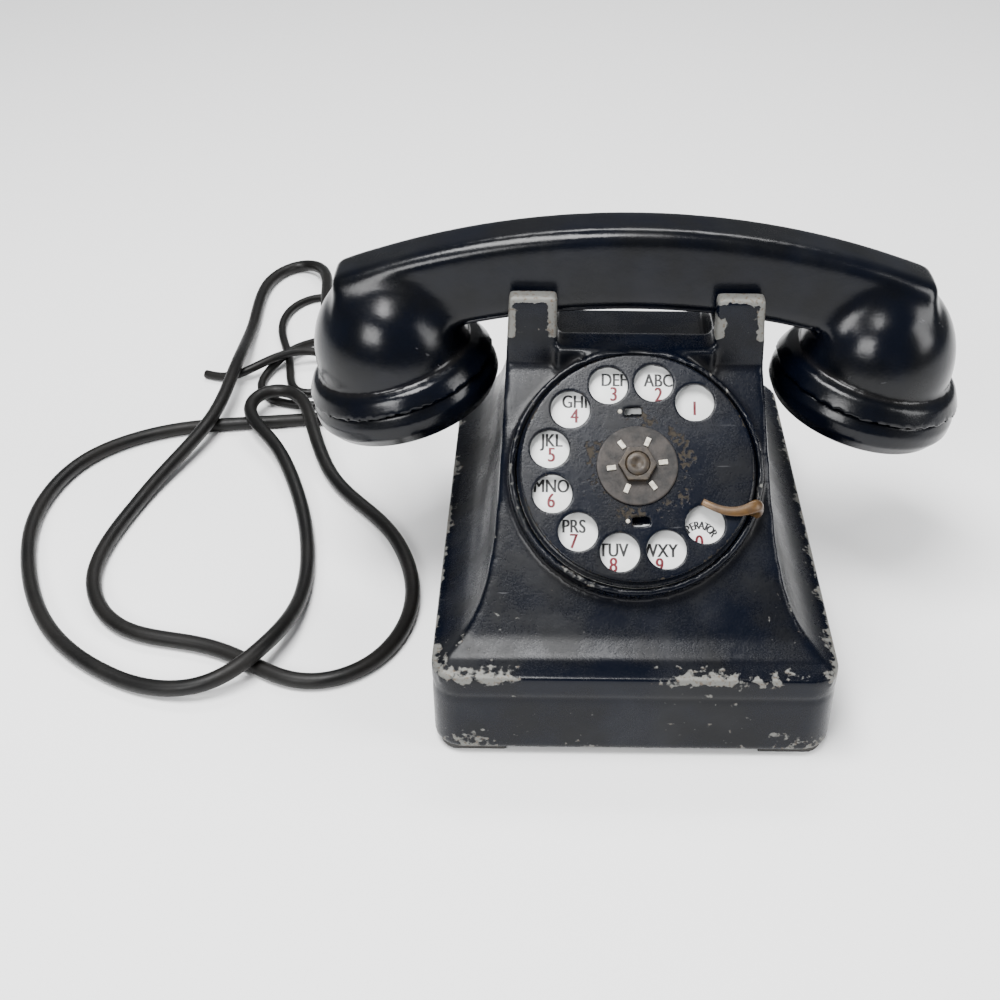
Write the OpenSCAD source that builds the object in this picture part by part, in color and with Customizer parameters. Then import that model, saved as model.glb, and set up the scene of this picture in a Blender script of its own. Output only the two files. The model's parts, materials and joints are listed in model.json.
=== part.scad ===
// Desk telephone with a rotary dial, a handset on a four-eared cradle, a bell ringer and two cords.
// +Z is up, the dial faces -Y, and the origin is under the middle of the body on the resting surface.

/* [Body] */
// Width of the base
base_w = 132; // [110:1:160]
// Depth of the base
base_d = 184; // [152:1:224]
// Height of the plinth's top edge
plinth_h = 34.5; // [30:0.5:42]
// Corner radius of the plinth
plinth_r = 10; // [6:1:16]
// Height of the reveal line round the plinth
groove_z = 25.5; // [20:0.5:28]
// Wall thickness of the cast housing
wall = 3; // [2.5:0.5:4]
// Slope of the dial face from the horizontal
face_tilt = 41; // [36:1:46]
// Height of the ears
ear_h = 125; // [122:1:138]
// Width of each ear
ear_w = 17; // [14:1:20]
// Height of the saddles that the handset lies in
saddle_h = 111; // [108:1:116]
// Distance from the front edge of the base to the middle of the cradle
cradle_in = 106; // [98:1:118]

/* [Feet and base] */
// Height of the feet
foot_h = 3; // [2:0.5:5]
// Thickness of the base plate
plate_t = 1.6; // [1.2:0.2:3]
// Shank diameter of the base screws
base_screw_d = 4; // [3:0.5:5]

/* [Dial] */
// Diameter of the finger wheel
wheel_d = 76.2; // [64:0.2:92]
// Thickness of the finger wheel
wheel_t = 2; // [1.4:0.2:3]
// Diameter of a finger hole
finger_hole_d = 12.8; // [10:0.2:15]
// Distance of the finger holes from the rim of the wheel
finger_hole_in = 9.1; // [8:0.1:12]
// Gap under the finger wheel
wheel_gap = 2.4; // [1.6:0.2:4]
// Distance up the face to the middle of the dial
dial_up = 62.6; // [58:0.2:66]
// Height of the finger wheel above the face
dial_proud = 11.4; // [9:0.2:14]
// Diameter of the dial's main shaft
shaft_d = 8; // [6:0.5:10]
// Running clearance between a shaft and its hole, on the radius
run_fit = 0.05; // [0.02:0.01:0.09]

/* [Gears] */
// Teeth on the main gear
main_teeth = 48; // [40:4:56]
// Teeth on each pinion
pinion_teeth = 12; // [12:1:14]
// Teeth on the second gear
second_teeth = 36; // [30:1:40]
// Module of the main pair
main_module = 0.7; // [0.6:0.05:0.8]
// Module of the second pair
second_module = 0.45; // [0.4:0.05:0.5]

/* [Handset] */
// Width of the handle
handle_w = 27; // [24:1:30]
// Thickness of the handle
handle_t = 28; // [24:0.5:32]
// Radius of the handle's arch, along its back
arch_r = 280; // [250:1:340]
// Diameter of the caps
cap_d = 68; // [60:1:72]
// Height of the caps
cap_h = 15; // [12:1:18]
// Inward tilt of the transmitter's cup
tx_tilt = 15; // [10:1:17]
// Inward tilt of the receiver's cup
rx_tilt = 12; // [8:1:16]
// How far the handset has rolled round its arch, to the right
handset_roll = 0.35; // [0:0.1:0.8]
// Height of the joints between the cups and their caps
seam_h = 86; // [82:1:92]
// Gap between each cap and the neck of the body
cup_gap = 6.2; // [5:0.2:12]
// Length of the handle beyond the middle of the transmitter's cup
tx_over = 20.5; // [16:0.5:24]
// Length of the handle beyond the middle of the receiver's cup
rx_over = 17; // [14:0.5:24]
// Wall thickness of the handset
shell_t = 2.6; // [2:0.2:3.4]

/* [Bell] */
// Gap between the two gongs
gong_gap = 10; // [8:1:14]
// Room between a gong and the wall
gong_room = 9; // [6:1:12]
// Diameter of the clapper's ball
ball_d = 6; // [5:0.5:7]

/* [Cords] */
// Diameter of the handset cord
handset_cord_d = 5.8; // [5:0.2:6.6]
// Diameter of the line cord
line_cord_d = 4; // [3.4:0.2:4.6]

/* [Hidden] */
$fn = 64;
tiny = 0.01;

// Clearances shared by every fit
loose = 0.4;
rest_gap = 0.3;

// Face and dial frame
foot_y = -base_d / 2 + 8;
boss_ir = wheel_d / 2 + 1.6;
boss_or = boss_ir + 2.2;
neck = boss_or + 1.6;
dial_y = foot_y + dial_up * cos(face_tilt) - dial_proud * sin(face_tilt);
dial_z = plinth_h + dial_up * sin(face_tilt) + dial_proud * cos(face_tilt);
flare = base_w / 2 - 2 - neck - 4;

// Cradle
cradle_y = -base_d / 2 + cradle_in;
channel = handle_w / 2 + 0.6;
ear_t = 8;
ear_in = neck - ear_w;
ear_front = cradle_y - channel - ear_t;
ear_back = cradle_y + channel + ear_t;
shelf_h = saddle_h - 3.5;
recess_h = saddle_h - 15;
ceil_h = recess_h - 4;
plunger_x = neck - ear_w / 2;
plunger_d = 7;
post_wall = 3;
stop_angle = -21;
stop_w = 4;
gong_t = 1.4;
gong_hole = 1.6;
terminal_pitch = 9.6;

// Base
floor_z = foot_h + 2;
deck_z = floor_z + plate_t;
post_x = base_w / 2 - 15;
post_y = base_d / 2 - 15;

// Dial stack, measured down from the top of the finger wheel
plate_top = -wheel_t - wheel_gap;
card_t = 1;
deck_t = 1.8;
deck_top = plate_top - card_t;
case_top = deck_top - deck_t;
case_depth = 24;
case_floor = case_top - case_depth;
case_wall = 1.6;
well_r = boss_ir - 6.6;
main_r = main_module * main_teeth / 2;
main_pinion_r = main_module * pinion_teeth / 2;
second_r = second_module * second_teeth / 2;
second_pinion_r = second_module * pinion_teeth / 2;
pulse_dist = main_r + main_pinion_r;
governor_dist = second_r + second_pinion_r;
governor_from_main = pulse_dist - 1;
pulse_angle = 200;
governor_angle = pulse_angle + acos((pow(pulse_dist, 2) + pow(governor_from_main, 2)
    - pow(governor_dist, 2)) / (2 * pulse_dist * governor_from_main));
pulse_pin_d = 3;
governor_pin_d = 2.4;
main_gear_z = case_top - 5;
second_gear_z = case_top - 10;
governor_cup_r = governor_dist - pulse_pin_d / 2 - 0.6;

// Handset
inner_r = arch_r - handle_t;
sag = inner_r - sqrt(pow(inner_r, 2) - pow(neck + 3, 2));
handle_base = saddle_h + rest_gap + sag;
arch_z = handle_base + handle_t - arch_r;
cup_x = neck + cap_d / 2 + cup_gap;
cup_r = cap_d / 2 - 5.5;
cup_rise = 24;
tx_angle = asin((cup_x + tx_over) / arch_r);
rx_angle = asin((cup_x + rx_over) / arch_r);
bush_d = handset_cord_d + 1.8;
bush_at = [-cup_x - 6.7, cradle_y + cap_d / 2 + 2, seam_h + 7];

// Bell
bell_half = base_w / 2 - wall - gong_room;
gong_r = (bell_half - gong_gap / 2) / 2;
gong_x = gong_gap / 2 + gong_r;
gong_y = base_d / 2 - wall - 12 - gong_r;
gong_z = deck_z + 6;
gong_h = 14;
coil_y = gong_y - gong_r - 13;
clapper_len = 26;
clapper_y = gong_y - clapper_len;

// Switch
bail_y = cradle_y + 14;
bail_z = ceil_h - 8;
bail_len = bail_y - cradle_y;

// Cord outlets
outlet_z = 12;
handset_outlet_x = -48;
line_outlet_x = -20;
outlet_y = base_d / 2;
bush_len = 14;

// Route of the handset cord, from the body to the handset
handset_route = [
    [-48, 104, 12], [-51, 111, 8], [-66, 114, 3], [-160, 104, 3], [-200, 96, 3], [-228, 74, 3],
    [-237, 36, 3], [-226, -8, 3], [-205, -42, 3], [-170, -65, 3], [-145, -67, 6], [-129, -52, 10],
    [-121, -18, 4], [-127, 30, 3], [-146, 78, 8], [-161, 98, 9], [-165, 113, 9], [-154, 125, 9],
    [-141, 117, 9], [-136, 102, 9], [-120, 60, 4], [-90, 22, 3], [-79, -20, 3], [-90, -52, 3],
    [-113, -63, 3], [-148, -44, 3], [-185, -35, 3], [-203, -6, 3], [-197, 46, 3], [-178, 98, 9],
    [-176, 143, 10], [-178, 190, 3], [-178, 245, 3], [-164, 262, 3], [-150, 248, 7], [-140, 190, 9],
    [-108, 118, 16], [-91, 69, 82], [-89, 60, 93.5], [-89, 50, 93.5]];

// Route of the line cord, from the body to its bare end
line_route = [
    [-20, 104, 12], [-26, 114, 4], [-42, 121, 2], [-80, 122, 2], [-120, 122, 2], [-148, 120, 2],
    [-162, 127, 2], [-166, 140, 2], [-163, 151, 2], [-154, 165, 7], [-143, 177, 3], [-129, 194, 2],
    [-127, 212, 2], [-138, 226, 2], [-154, 226, 2], [-164, 210, 2], [-164, 190, 2], [-156, 166, 2],
    [-152, 146, 2], [-148, 129, 2], [-136, 130, 2], [-127, 145, 2], [-130, 159, 4], [-146, 162, 8],
    [-164, 150, 8], [-180, 141, 2], [-192, 147, 2]];

// ---------------------------------------------------------------------------
// Helpers

// Smooth bend between a flat at z0 and a slope
function soft(z0, z, k) = z0 + k * ln(1 + exp(min((z - z0) / k, 60)));

// Height of the sloping front face at y, drop below the outer surface
function front_z(y, drop) =
    soft(plinth_h, plinth_h + (y - foot_y) * tan(face_tilt), 2.4) - drop / cos(face_tilt);

// Height of the back face at y
back_foot = base_d / 2 - 8;
back_tilt = atan((recess_h + 6 - plinth_h) / (back_foot - ear_back));
function back_z(y, drop) =
    soft(plinth_h, plinth_h + (back_foot - y) * tan(back_tilt), 2.4) - drop / cos(back_tilt);

// Half width of the flanks at z
function flank(z) = neck - 1 + (ear_h - z) * 0.05 + flare * exp(-max(z - plinth_h, 0) / 9);

// Side outline of the body, drawn in Y and Z
module side_outline(drop) {
    inset = drop > 0 ? drop + 1 : 2;
    y0 = -base_d / 2 + inset;
    y1 = base_d / 2 - inset;
    steps = 14;
    low = drop > 0 ? deck_z : plinth_h - 4;
    polygon(concat(
        [[y0, low]],
        [for (i = [0:steps]) let (y = y0 + (ear_front - y0) * i / steps) [y, front_z(y, drop)]],
        [[ear_front + 1.5, ear_h], [ear_back - 1.5, ear_h]],
        [for (i = [0:steps]) let (y = ear_back + (y1 - ear_back) * i / steps) [y, back_z(y, drop)]],
        [[y1, low]]));
}

// Front outline of the body, drawn in X and Z
module flank_outline(drop) {
    low = drop > 0 ? deck_z : plinth_h - 4;
    levels = [0, 1.5, 3, 5, 7.5, 11, 16, 24, 36, 60];
    right = concat([[flank(plinth_h) - drop, low]],
        [for (l = levels) [flank(plinth_h + l) - drop, plinth_h + l]],
        [[flank(ear_h) - drop, ear_h]]);
    polygon(concat(right, [for (i = [len(right) - 1:-1:0]) [-right[i][0], right[i][1]]]));
}

// Side outline pulled out across X
module across(w) {
    rotate([90, 0, 90]) translate([0, 0, -w / 2]) linear_extrude(w) children();
}

// Front outline pulled out along Y
module along(d) {
    rotate([90, 0, 0]) translate([0, 0, -d / 2]) linear_extrude(d) children();
}

// Square with four true round corners
module round_square(w, d, r) {
    union() {
        square([w - 2 * r, d], center = true);
        square([w, d - 2 * r], center = true);
        for (x = [-1, 1], y = [-1, 1]) translate([x * (w / 2 - r), y * (d / 2 - r)]) circle(r);
    }
}

// Block centred in X and Y on a floor
module block(w, d, h) { translate([-w / 2, -d / 2, 0]) cube([w, d, h]); }

// Dial frame: origin on the top of the finger wheel, +Z out of the dial
module on_dial() { translate([0, dial_y, dial_z]) rotate([face_tilt, 0, 0]) children(); }

// Place on the dial frame at a distance and an angle
module at_polar(dist, angle) { rotate([0, 0, angle]) translate([dist, 0, 0]) children(); }

// Ring with an outer and an inner radius
module ring(ro, ri, h) {
    difference() {
        cylinder(h = h, r = ro);
        translate([0, 0, -1]) cylinder(h = h + 2, r = ri);
    }
}

// Cheese-head screw with its head on z = 0 and its shank below
module screw(d, len, head_h) {
    difference() {
        union() {
            cylinder(h = head_h, d = d * 1.8);
            translate([0, 0, -len]) cylinder(h = len + tiny, d = d);
        }
        translate([-d, -0.4, head_h * 0.55]) cube([2 * d, 0.8, head_h]);
    }
}

// Point on an involute of base radius rb at radius r, as an angle
function inv_angle(rb, r) = let (a = sqrt(max(pow(r / rb, 2) - 1, 0))) a * 180 / PI - atan(a);

// Point from a radius and an angle
function polar(p) = [p[0] * cos(p[1]), p[0] * sin(p[1])];

// Spur gear outline: teeth, module and the angle of backlash taken from each tooth
module gear_outline(teeth, m, slack) {
    rp = teeth * m / 2;
    rb = rp * cos(20);
    root_r = rp - m * 1.2;
    start_r = max(rb, root_r + m * 0.05);
    tip_r = rp + m * 0.9;
    half = 90 / teeth - slack / 2 + inv_angle(rb, rp);
    rise = [start_r, (start_r + tip_r) / 2, tip_r];
    polygon([for (t = [0:teeth - 1], p = concat(
        [[root_r, -half - 0.2]],
        [for (r = rise) [r, inv_angle(rb, r) - half]],
        [for (i = [2:-1:0]) [rise[i], half - inv_angle(rb, rise[i])]],
        [[root_r, half + 0.2]])) polar([p[0], p[1] + t * 360 / teeth])]);
}

// Spur gear with a bore
module gear(teeth, m, h, bore_d, turn) {
    slack = 360 / teeth * 0.07;
    difference() {
        rotate([0, 0, turn]) linear_extrude(h) gear_outline(teeth, m, slack);
        translate([0, 0, -1]) cylinder(h = h + 2, d = bore_d);
    }
}

// Unit vector
function unit(v) = v / norm(v);

// Tube of one polyhedron along a route, with n sides
module cord(route, d, n) {
    last = len(route) - 1;
    dirs = [for (i = [0:last]) unit(route[min(i + 1, last)] - route[max(i - 1, 0)])];
    sides = [for (v = dirs) unit(cross(v, [0, 0, 1]))];
    tops = [for (i = [0:last]) cross(sides[i], dirs[i])];
    points = [for (i = [0:last], k = [0:n - 1])
        route[i] + d / 2 * (cos(360 * k / n) * sides[i] + sin(360 * k / n) * tops[i])];
    quads = [for (i = [0:last - 1], k = [0:n - 1])
        [i * n + k, i * n + (k + 1) % n, (i + 1) * n + (k + 1) % n, (i + 1) * n + k]];
    polyhedron(points = points, faces = concat(
        [[for (k = [n - 1:-1:0]) k]], quads, [[for (k = [0:n - 1]) last * n + k]]), convexity = 10);
}

// ---------------------------------------------------------------------------
// Body

// Outer shape of the housing before anything is cut
module housing_solid() {
    intersection() {
        across(base_w) side_outline(0);
        along(base_d) flank_outline(0);
    }
    translate([0, 0, foot_h]) linear_extrude(plinth_h - foot_h) round_square(base_w, base_d, plinth_r);
    on_dial() translate([0, 0, -dial_proud - 8]) cylinder(h = dial_proud + 8 - wheel_t - 1.6, r = boss_or);
    translate([-ear_in, ear_front - 2, shelf_h - 16]) cube([2 * ear_in, 14, 16]);
}

// Everything that is hollow in the housing
module housing_hollow() {
    intersection() {
        across(base_w) side_outline(wall);
        along(base_d) flank_outline(wall);
        translate([0, 0, ceil_h / 2]) cube([base_w, base_d, ceil_h], center = true);
    }
    translate([0, 0, foot_h - 1]) linear_extrude(plinth_h - foot_h - wall + 1)
        round_square(base_w - 2 * wall, base_d - 2 * wall, plinth_r - wall);
    on_dial() translate([0, 0, case_floor - 2]) cylinder(h = -case_floor + 4, r = boss_ir);
}

// Cast housing with its ears, dial collar and screw posts
module housing() {
    color("midnightblue") difference() {
        union() {
            difference() {
                housing_solid();
                housing_hollow();
            }
            for (x = [-1, 1], y = [-1, 1]) intersection() {
                translate([x * post_x, y * post_y, deck_z])
                    cylinder(h = plinth_h - deck_z + 2, d = base_screw_d + post_wall * 2);
                housing_solid();
            }
        }
        // channel for the handle
        translate([-base_w / 2, cradle_y - channel, saddle_h]) cube([base_w, 2 * channel, ear_h]);
        // gap between the front ears, and the finger recess behind the shelf
        translate([-ear_in, -base_d / 2, shelf_h]) cube([2 * ear_in, base_d, ear_h]);
        translate([-ear_in, ear_front + ear_t + 3, recess_h]) cube([2 * ear_in, base_d, ear_h]);
        // plunger bush seats
        for (x = [-1, 1]) translate([x * plunger_x, cradle_y, ceil_h - 1])
            cylinder(h = saddle_h, d = plunger_d + 4);
        // screw holes in the posts
        for (x = [-1, 1], y = [-1, 1]) translate([x * post_x, y * post_y, deck_z - 1])
            cylinder(h = 13, d = base_screw_d + 0.2);
        // reveal line round the plinth
        translate([0, 0, groove_z]) linear_extrude(1.2) difference() {
            round_square(base_w + 2, base_d + 2, plinth_r + 1);
            round_square(base_w - 1.4, base_d - 1.4, plinth_r - 0.7);
        }
        // cord outlets in the back
        for (x = [handset_outlet_x, line_outlet_x]) translate([x, outlet_y + 1, outlet_z]) rotate([90, 0, 0])
            cylinder(h = wall + 3, d = 9);
    }
}

// Steel base plate
module base_plate() {
    color("dimgray") difference() {
        translate([0, 0, floor_z]) linear_extrude(plate_t)
            round_square(base_w - 2 * (wall + loose), base_d - 2 * (wall + loose), plinth_r - wall - loose);
        for (x = [-1, 1], y = [-1, 1]) translate([x * post_x, y * post_y, floor_z - 1])
            cylinder(h = plate_t + 2, d = base_screw_d + 0.4);
    }
}

// Four corner pads that the telephone stands on
module feet() {
    color("dimgray") for (x = [-1, 1], y = [-1, 1]) intersection() {
        translate([0, 0, 0]) linear_extrude(floor_z) round_square(base_w - 3, base_d - 3, plinth_r - 1.5);
        difference() {
            union() {
                translate([x * (base_w / 2 - 13), y * (base_d / 2 - 9), 0]) block(22, 14, foot_h);
                translate([x * (base_w / 2 - 15 - wall), y * (base_d / 2 - 9 - wall), foot_h - tiny])
                    block(20, 9, floor_z - foot_h + tiny);
            }
            translate([x * post_x, y * post_y, -1]) cylinder(h = floor_z + 2, d = base_screw_d * 1.8 + 1);
        }
    }
}

// Screws that hold the base plate to the housing
module base_screws() {
    color("silver") for (x = [-1, 1], y = [-1, 1])
        translate([x * post_x, y * post_y, floor_z]) mirror([0, 0, 1]) screw(base_screw_d, 12, 1.6);
}

// ---------------------------------------------------------------------------
// Dial, fixed parts

// Holes for the three dial shafts
module dial_bores(h, z) {
    translate([0, 0, z]) cylinder(h = h, d = shaft_d + 2 * run_fit);
    at_polar(pulse_dist, pulse_angle) translate([0, 0, z]) cylinder(h = h, d = pulse_pin_d + 2 * run_fit);
    at_polar(governor_from_main, governor_angle) translate([0, 0, z])
        cylinder(h = h, d = governor_pin_d + 2 * run_fit);
}

// Top plate of the dial, which carries the upper bearings
module dial_plate() {
    color("silver") on_dial() difference() {
        translate([0, 0, case_top]) cylinder(h = deck_t, r = boss_ir - loose);
        dial_bores(deck_t + 2, case_top - 1);
        for (a = [30, 150, 270]) at_polar(well_r + 2.6, a) translate([0, 0, case_top - 1])
            cylinder(h = deck_t + 2, d = 2.6);
    }
}

// Cup that holds the dial mechanism, with the lower bearings in its floor
module dial_case() {
    color("dimgray") on_dial() difference() {
        union() {
            translate([0, 0, case_floor]) cylinder(h = case_depth, r = well_r);
            translate([0, 0, case_top - 2]) cylinder(h = 2, r = boss_ir - loose);
        }
        translate([0, 0, case_floor + case_wall]) cylinder(h = case_depth, r = well_r - case_wall);
        dial_bores(case_wall + 2, case_floor - 1);
        for (a = [30, 150, 270]) at_polar(well_r + 2.6, a) translate([0, 0, case_top - 5])
            cylinder(h = 6, d = 2.2);
    }
}

// Screws that join the dial plate to the case
module dial_screws() {
    color("silver") on_dial() for (a = [30, 150, 270]) at_polar(well_r + 2.6, a)
        translate([0, 0, case_top - 1.8]) cylinder(h = deck_t + 1.8, d = 2.2);
}

// Enamelled ring that carries the numbers
module number_plate() {
    color("white") on_dial() translate([0, 0, deck_top]) difference() {
        cylinder(h = card_t, r = boss_ir - loose);
        translate([0, 0, -1]) cylinder(h = card_t + 2, r = boss_ir - 22);
        rotate([0, 0, -21]) translate([wheel_d / 2, -2.4, -1]) cube([5, 4.8, card_t + 2]);
    }
}

// Hook that stops the finger
module finger_stop() {
    rise = 2.2;
    color("goldenrod") on_dial() {
        rotate([0, 0, stop_angle]) {
            translate([wheel_d / 2 + 0.5, -stop_w / 2, deck_top])
                cube([boss_ir - wheel_d / 2 - 1.1, stop_w, -deck_top + rise]);
            translate([wheel_d / 2 - 15, -1.6, 1]) cube([16, 3.2, rise - 1]);
        }
    }
}

// Drum of the spring that turns the dial back
module main_spring() {
    color("slategray") on_dial() translate([0, 0, case_floor + case_wall]) ring(11, shaft_d / 2 + 1, 8);
}

// Contact springs worked by the pulse cam
module pulse_springs() {
    color("goldenrod") on_dial() at_polar(pulse_dist + 5.2, pulse_angle)
        for (i = [0:2]) translate([i * 1.1 - 0.3, -6, case_floor + case_wall]) cube([0.5, 12, 12]);
}

// Drum in which the governor's weights drag
module governor_cup() {
    color("goldenrod") on_dial() at_polar(governor_from_main, governor_angle) difference() {
        translate([0, 0, case_floor + case_wall]) cylinder(h = 7, r = governor_cup_r);
        translate([0, 0, case_floor + case_wall + 0.8]) cylinder(h = 8, r = governor_cup_r - 0.8);
        translate([0, 0, case_floor]) cylinder(h = 4, d = governor_pin_d + 1);
    }
}

// ---------------------------------------------------------------------------
// Dial, moving parts

// Steel wheel with ten finger holes
module finger_wheel() {
    hole_ring = wheel_d / 2 - finger_hole_in;
    color("midnightblue") on_dial() difference() {
        union() {
            translate([0, 0, -wheel_t]) cylinder(h = wheel_t, r = wheel_d / 2);
        }
        for (i = [0:9]) at_polar(hole_ring, 49 + 30 * i) translate([0, 0, -wheel_t - 1])
            cylinder(h = wheel_t + 2, d = finger_hole_d);
        for (a = [94, 274]) rotate([0, 0, a - 90]) translate([-2.75, wheel_d / 4 - 2.3, -wheel_t - 1])
            cube([5.5, 3.2, wheel_t + 2]);
        translate([0, 0, -wheel_t - 1]) cylinder(h = wheel_t + 2, d = shaft_d);
    }
}

// Disc that clamps the wheel on the shaft
module hub_disc() {
    color("saddlebrown") on_dial() ring(13.25, shaft_d / 2, 1);
}

// Six clips that once held a card over the hub
module hub_clips() {
    color("ivory") on_dial() for (i = [0:5]) at_polar(8.45, 7 + 60 * i)
        translate([-1.5, -0.8, 1]) cube([3, 1.6, 0.6]);
}

// Hexagon nut on the end of the shaft
module hub_nut() {
    color("peru") on_dial() translate([0, 0, 1]) difference() {
        cylinder(h = 2.6, d = 12.6, $fn = 6);
        translate([0, 0, -1]) cylinder(h = 4.6, d = shaft_d);
    }
}

// Main shaft of the dial
module main_shaft() {
    color("silver") on_dial() translate([0, 0, case_floor - 1]) cylinder(h = 4 - case_floor, d = shaft_d);
}

// Main gear, turned by the finger wheel
module main_gear() {
    color("goldenrod") on_dial() translate([0, 0, main_gear_z]) gear(main_teeth, main_module, 2, shaft_d, 0);
}

// Turn that puts a pinion's gap on the line to its gear
function mesh_turn(angle, gear_teeth, gear_turn, teeth) =
    angle + 180 + 180 / teeth + (gear_teeth / teeth) * ((angle - gear_turn) % (360 / gear_teeth));

second_turn = 0;

// Shaft that carries the pulse pieces
module pulse_shaft() {
    color("silver") on_dial() at_polar(pulse_dist, pulse_angle)
        translate([0, 0, case_floor + 0.2]) cylinder(h = case_depth + deck_t - 0.4, d = pulse_pin_d);
}

// Pinion in the main gear, and the second gear on the same shaft
module pulse_gear() {
    color("goldenrod") on_dial()
    translate([pulse_dist * cos(pulse_angle), pulse_dist * sin(pulse_angle), 0]) {
        translate([0, 0, main_gear_z - 0.5])
            gear(pinion_teeth, main_module, 3, pulse_pin_d,
                mesh_turn(pulse_angle, main_teeth, 0, pinion_teeth));
        translate([0, 0, second_gear_z]) gear(second_teeth, second_module, 1.6, pulse_pin_d, second_turn);
        translate([0, 0, second_gear_z + 1.6]) ring(3, pulse_pin_d / 2, main_gear_z - second_gear_z - 2.1);
    }
}

// Two-lobed cam that opens the contacts
module pulse_cam() {
    color("ivory") on_dial() at_polar(pulse_dist, pulse_angle) translate([0, 0, case_floor + case_wall + 8])
        difference() {
            union() {
                cylinder(h = 3, r = 2.6);
                rotate([0, 0, 90]) translate([-3.8, -1, 0]) cube([7.6, 2, 3]);
            }
            translate([0, 0, -1]) cylinder(h = 5, d = pulse_pin_d);
        }
}

// Direction from the pulse shaft to the governor shaft
governor_line = atan2(
    governor_from_main * sin(governor_angle) - pulse_dist * sin(pulse_angle),
    governor_from_main * cos(governor_angle) - pulse_dist * cos(pulse_angle));

// Governor shaft with its pinion
module governor_shaft() {
    color("silver") on_dial()
        translate([governor_from_main * cos(governor_angle), governor_from_main * sin(governor_angle), 0]) {
            translate([0, 0, case_floor + 0.2]) cylinder(h = case_depth + deck_t - 0.4, d = governor_pin_d);
            translate([0, 0, second_gear_z - 0.4])
                gear(pinion_teeth, second_module, 2.4, governor_pin_d - 0.2,
                    mesh_turn(governor_line, second_teeth, second_turn, pinion_teeth));
        }
}

// Weights that fly out and drag in the cup
module governor_weights() {
    color("slategray") on_dial() at_polar(governor_from_main, governor_angle)
        translate([0, 0, case_floor + case_wall + 1.6]) difference() {
            intersection() {
                cylinder(h = 4, r = governor_cup_r - 1.4);
                union() {
                    block(2 * governor_cup_r, 4, 4);
                    cylinder(h = 4, r = 2.4);
                }
            }
            translate([0, 0, -1]) cylinder(h = 6, d = governor_pin_d);
        }
}

// ---------------------------------------------------------------------------
// Switch under the cradle

// Half width of the switch bracket
switch_half = neck - wall - 9;

// Bracket that hangs the switch from the housing
module hookswitch_frame() {
    color("slategray") difference() {
        union() {
            translate([0, bail_y + 3, ceil_h - 2]) block(2 * switch_half, 10, 2);
            for (x = [-1, 1]) translate([x * (switch_half - 1), bail_y + 1, bail_z - 5])
                block(2, 8, ceil_h - bail_z + 4);
        }
        translate([-base_w / 2, bail_y, bail_z]) rotate([0, 90, 0]) cylinder(h = base_w, d = 3 + 2 * run_fit);
    }
}

// Contact springs of the switch
module hookswitch_springs() {
    color("goldenrod") for (i = [0:3]) translate([-9 + 6 * i, bail_y + 4, ceil_h - 22]) cube([0.6, 4, 18]);
    color("ivory") translate([0, bail_y + 6, ceil_h - 6]) block(22, 4, 4);
}

// Pin that the bail turns on
module bail_pin() {
    color("silver") translate([-switch_half - 1, bail_y, bail_z]) rotate([0, 90, 0])
        cylinder(h = 2 * switch_half + 2, d = 3);
}

// Bail that both plungers press
module hook_bail() {
    color("slategray") difference() {
        union() {
            for (x = [-1, 1]) translate([x * (switch_half - 3.6), bail_y - bail_len / 2 + 0.5, bail_z - 2.6])
                block(2, bail_len + 5, 5.2);
            translate([0, cradle_y - 1, bail_z - 2.6]) block(2 * plunger_x + 4, 5, 3);
        }
        translate([-base_w / 2, bail_y, bail_z]) rotate([0, 90, 0]) cylinder(h = base_w, d = 3 + 2 * run_fit);
    }
}

// Bushes that guide the plungers through the saddles
module plunger_bushes() {
    color("silver") for (x = [-1, 1]) translate([x * plunger_x, cradle_y, ceil_h + 2])
        ring(plunger_d / 2 + 2, plunger_d / 2 + run_fit, saddle_h - ceil_h - 3);
}

// One plunger, which the handset holds down
module plunger(side) {
    color("ghostwhite") translate([side * plunger_x, cradle_y, bail_z + 0.8])
        cylinder(h = saddle_h + 1 - bail_z - 0.8, d = plunger_d);
}
module plunger_left() { plunger(-1); }
module plunger_right() { plunger(1); }

// ---------------------------------------------------------------------------
// Bell

// Steel frame of the ringer
module ringer_frame() {
    color("slategray") difference() {
        union() {
            translate([0, coil_y, deck_z]) block(2 * gong_x + 12, 20, 2);
            translate([0, gong_y - 6, deck_z]) block(10, 2 * gong_r, 2);
            for (x = [-1, 1]) {
                translate([x * gong_x, gong_y, deck_z]) cylinder(h = gong_z + gong_h - deck_z - 4, d = 7);
                translate([x * gong_x / 2, gong_y, deck_z]) block(gong_x + 2, 8, 2);
            }
        }
        translate([0, clapper_y, deck_z - 1]) cylinder(h = 4, d = 3);
        for (x = [-1, 1]) translate([x * gong_x, gong_y, gong_z]) cylinder(h = gong_h, d = 3);
    }
}

// Two coils side by side
module ringer_coils() {
    color("saddlebrown") for (x = [-1, 1]) translate([x * 15, coil_y + 8, deck_z + 13]) rotate([90, 0, 0]) {
        cylinder(h = 16, r = 9);
        for (z = [0, 15]) translate([0, 0, z]) cylinder(h = 1, r = 10.4);
    }
}

// Magnet bridging the coils
module ringer_magnet() {
    color("dimgray") translate([0, coil_y - 12, deck_z + 2]) block(50, 5, 18);
}

// One gong: a shallow bell with its hole at the top
module gong(side) {
    color("darkgoldenrod") translate([side * gong_x, gong_y, gong_z]) rotate_extrude() polygon([
        [gong_hole, gong_h - gong_t], [gong_r * 0.45, gong_h - gong_t], [gong_r * 0.8, gong_h * 0.62],
        [gong_r - gong_t, gong_h * 0.3],
        [gong_r - gong_t, 0], [gong_r, 0], [gong_r, gong_h * 0.34], [gong_r * 0.84, gong_h * 0.72],
        [gong_r * 0.48, gong_h], [gong_hole, gong_h]]);
}
module gong_left() { gong(-1); }
module gong_right() { gong(1); }

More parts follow.
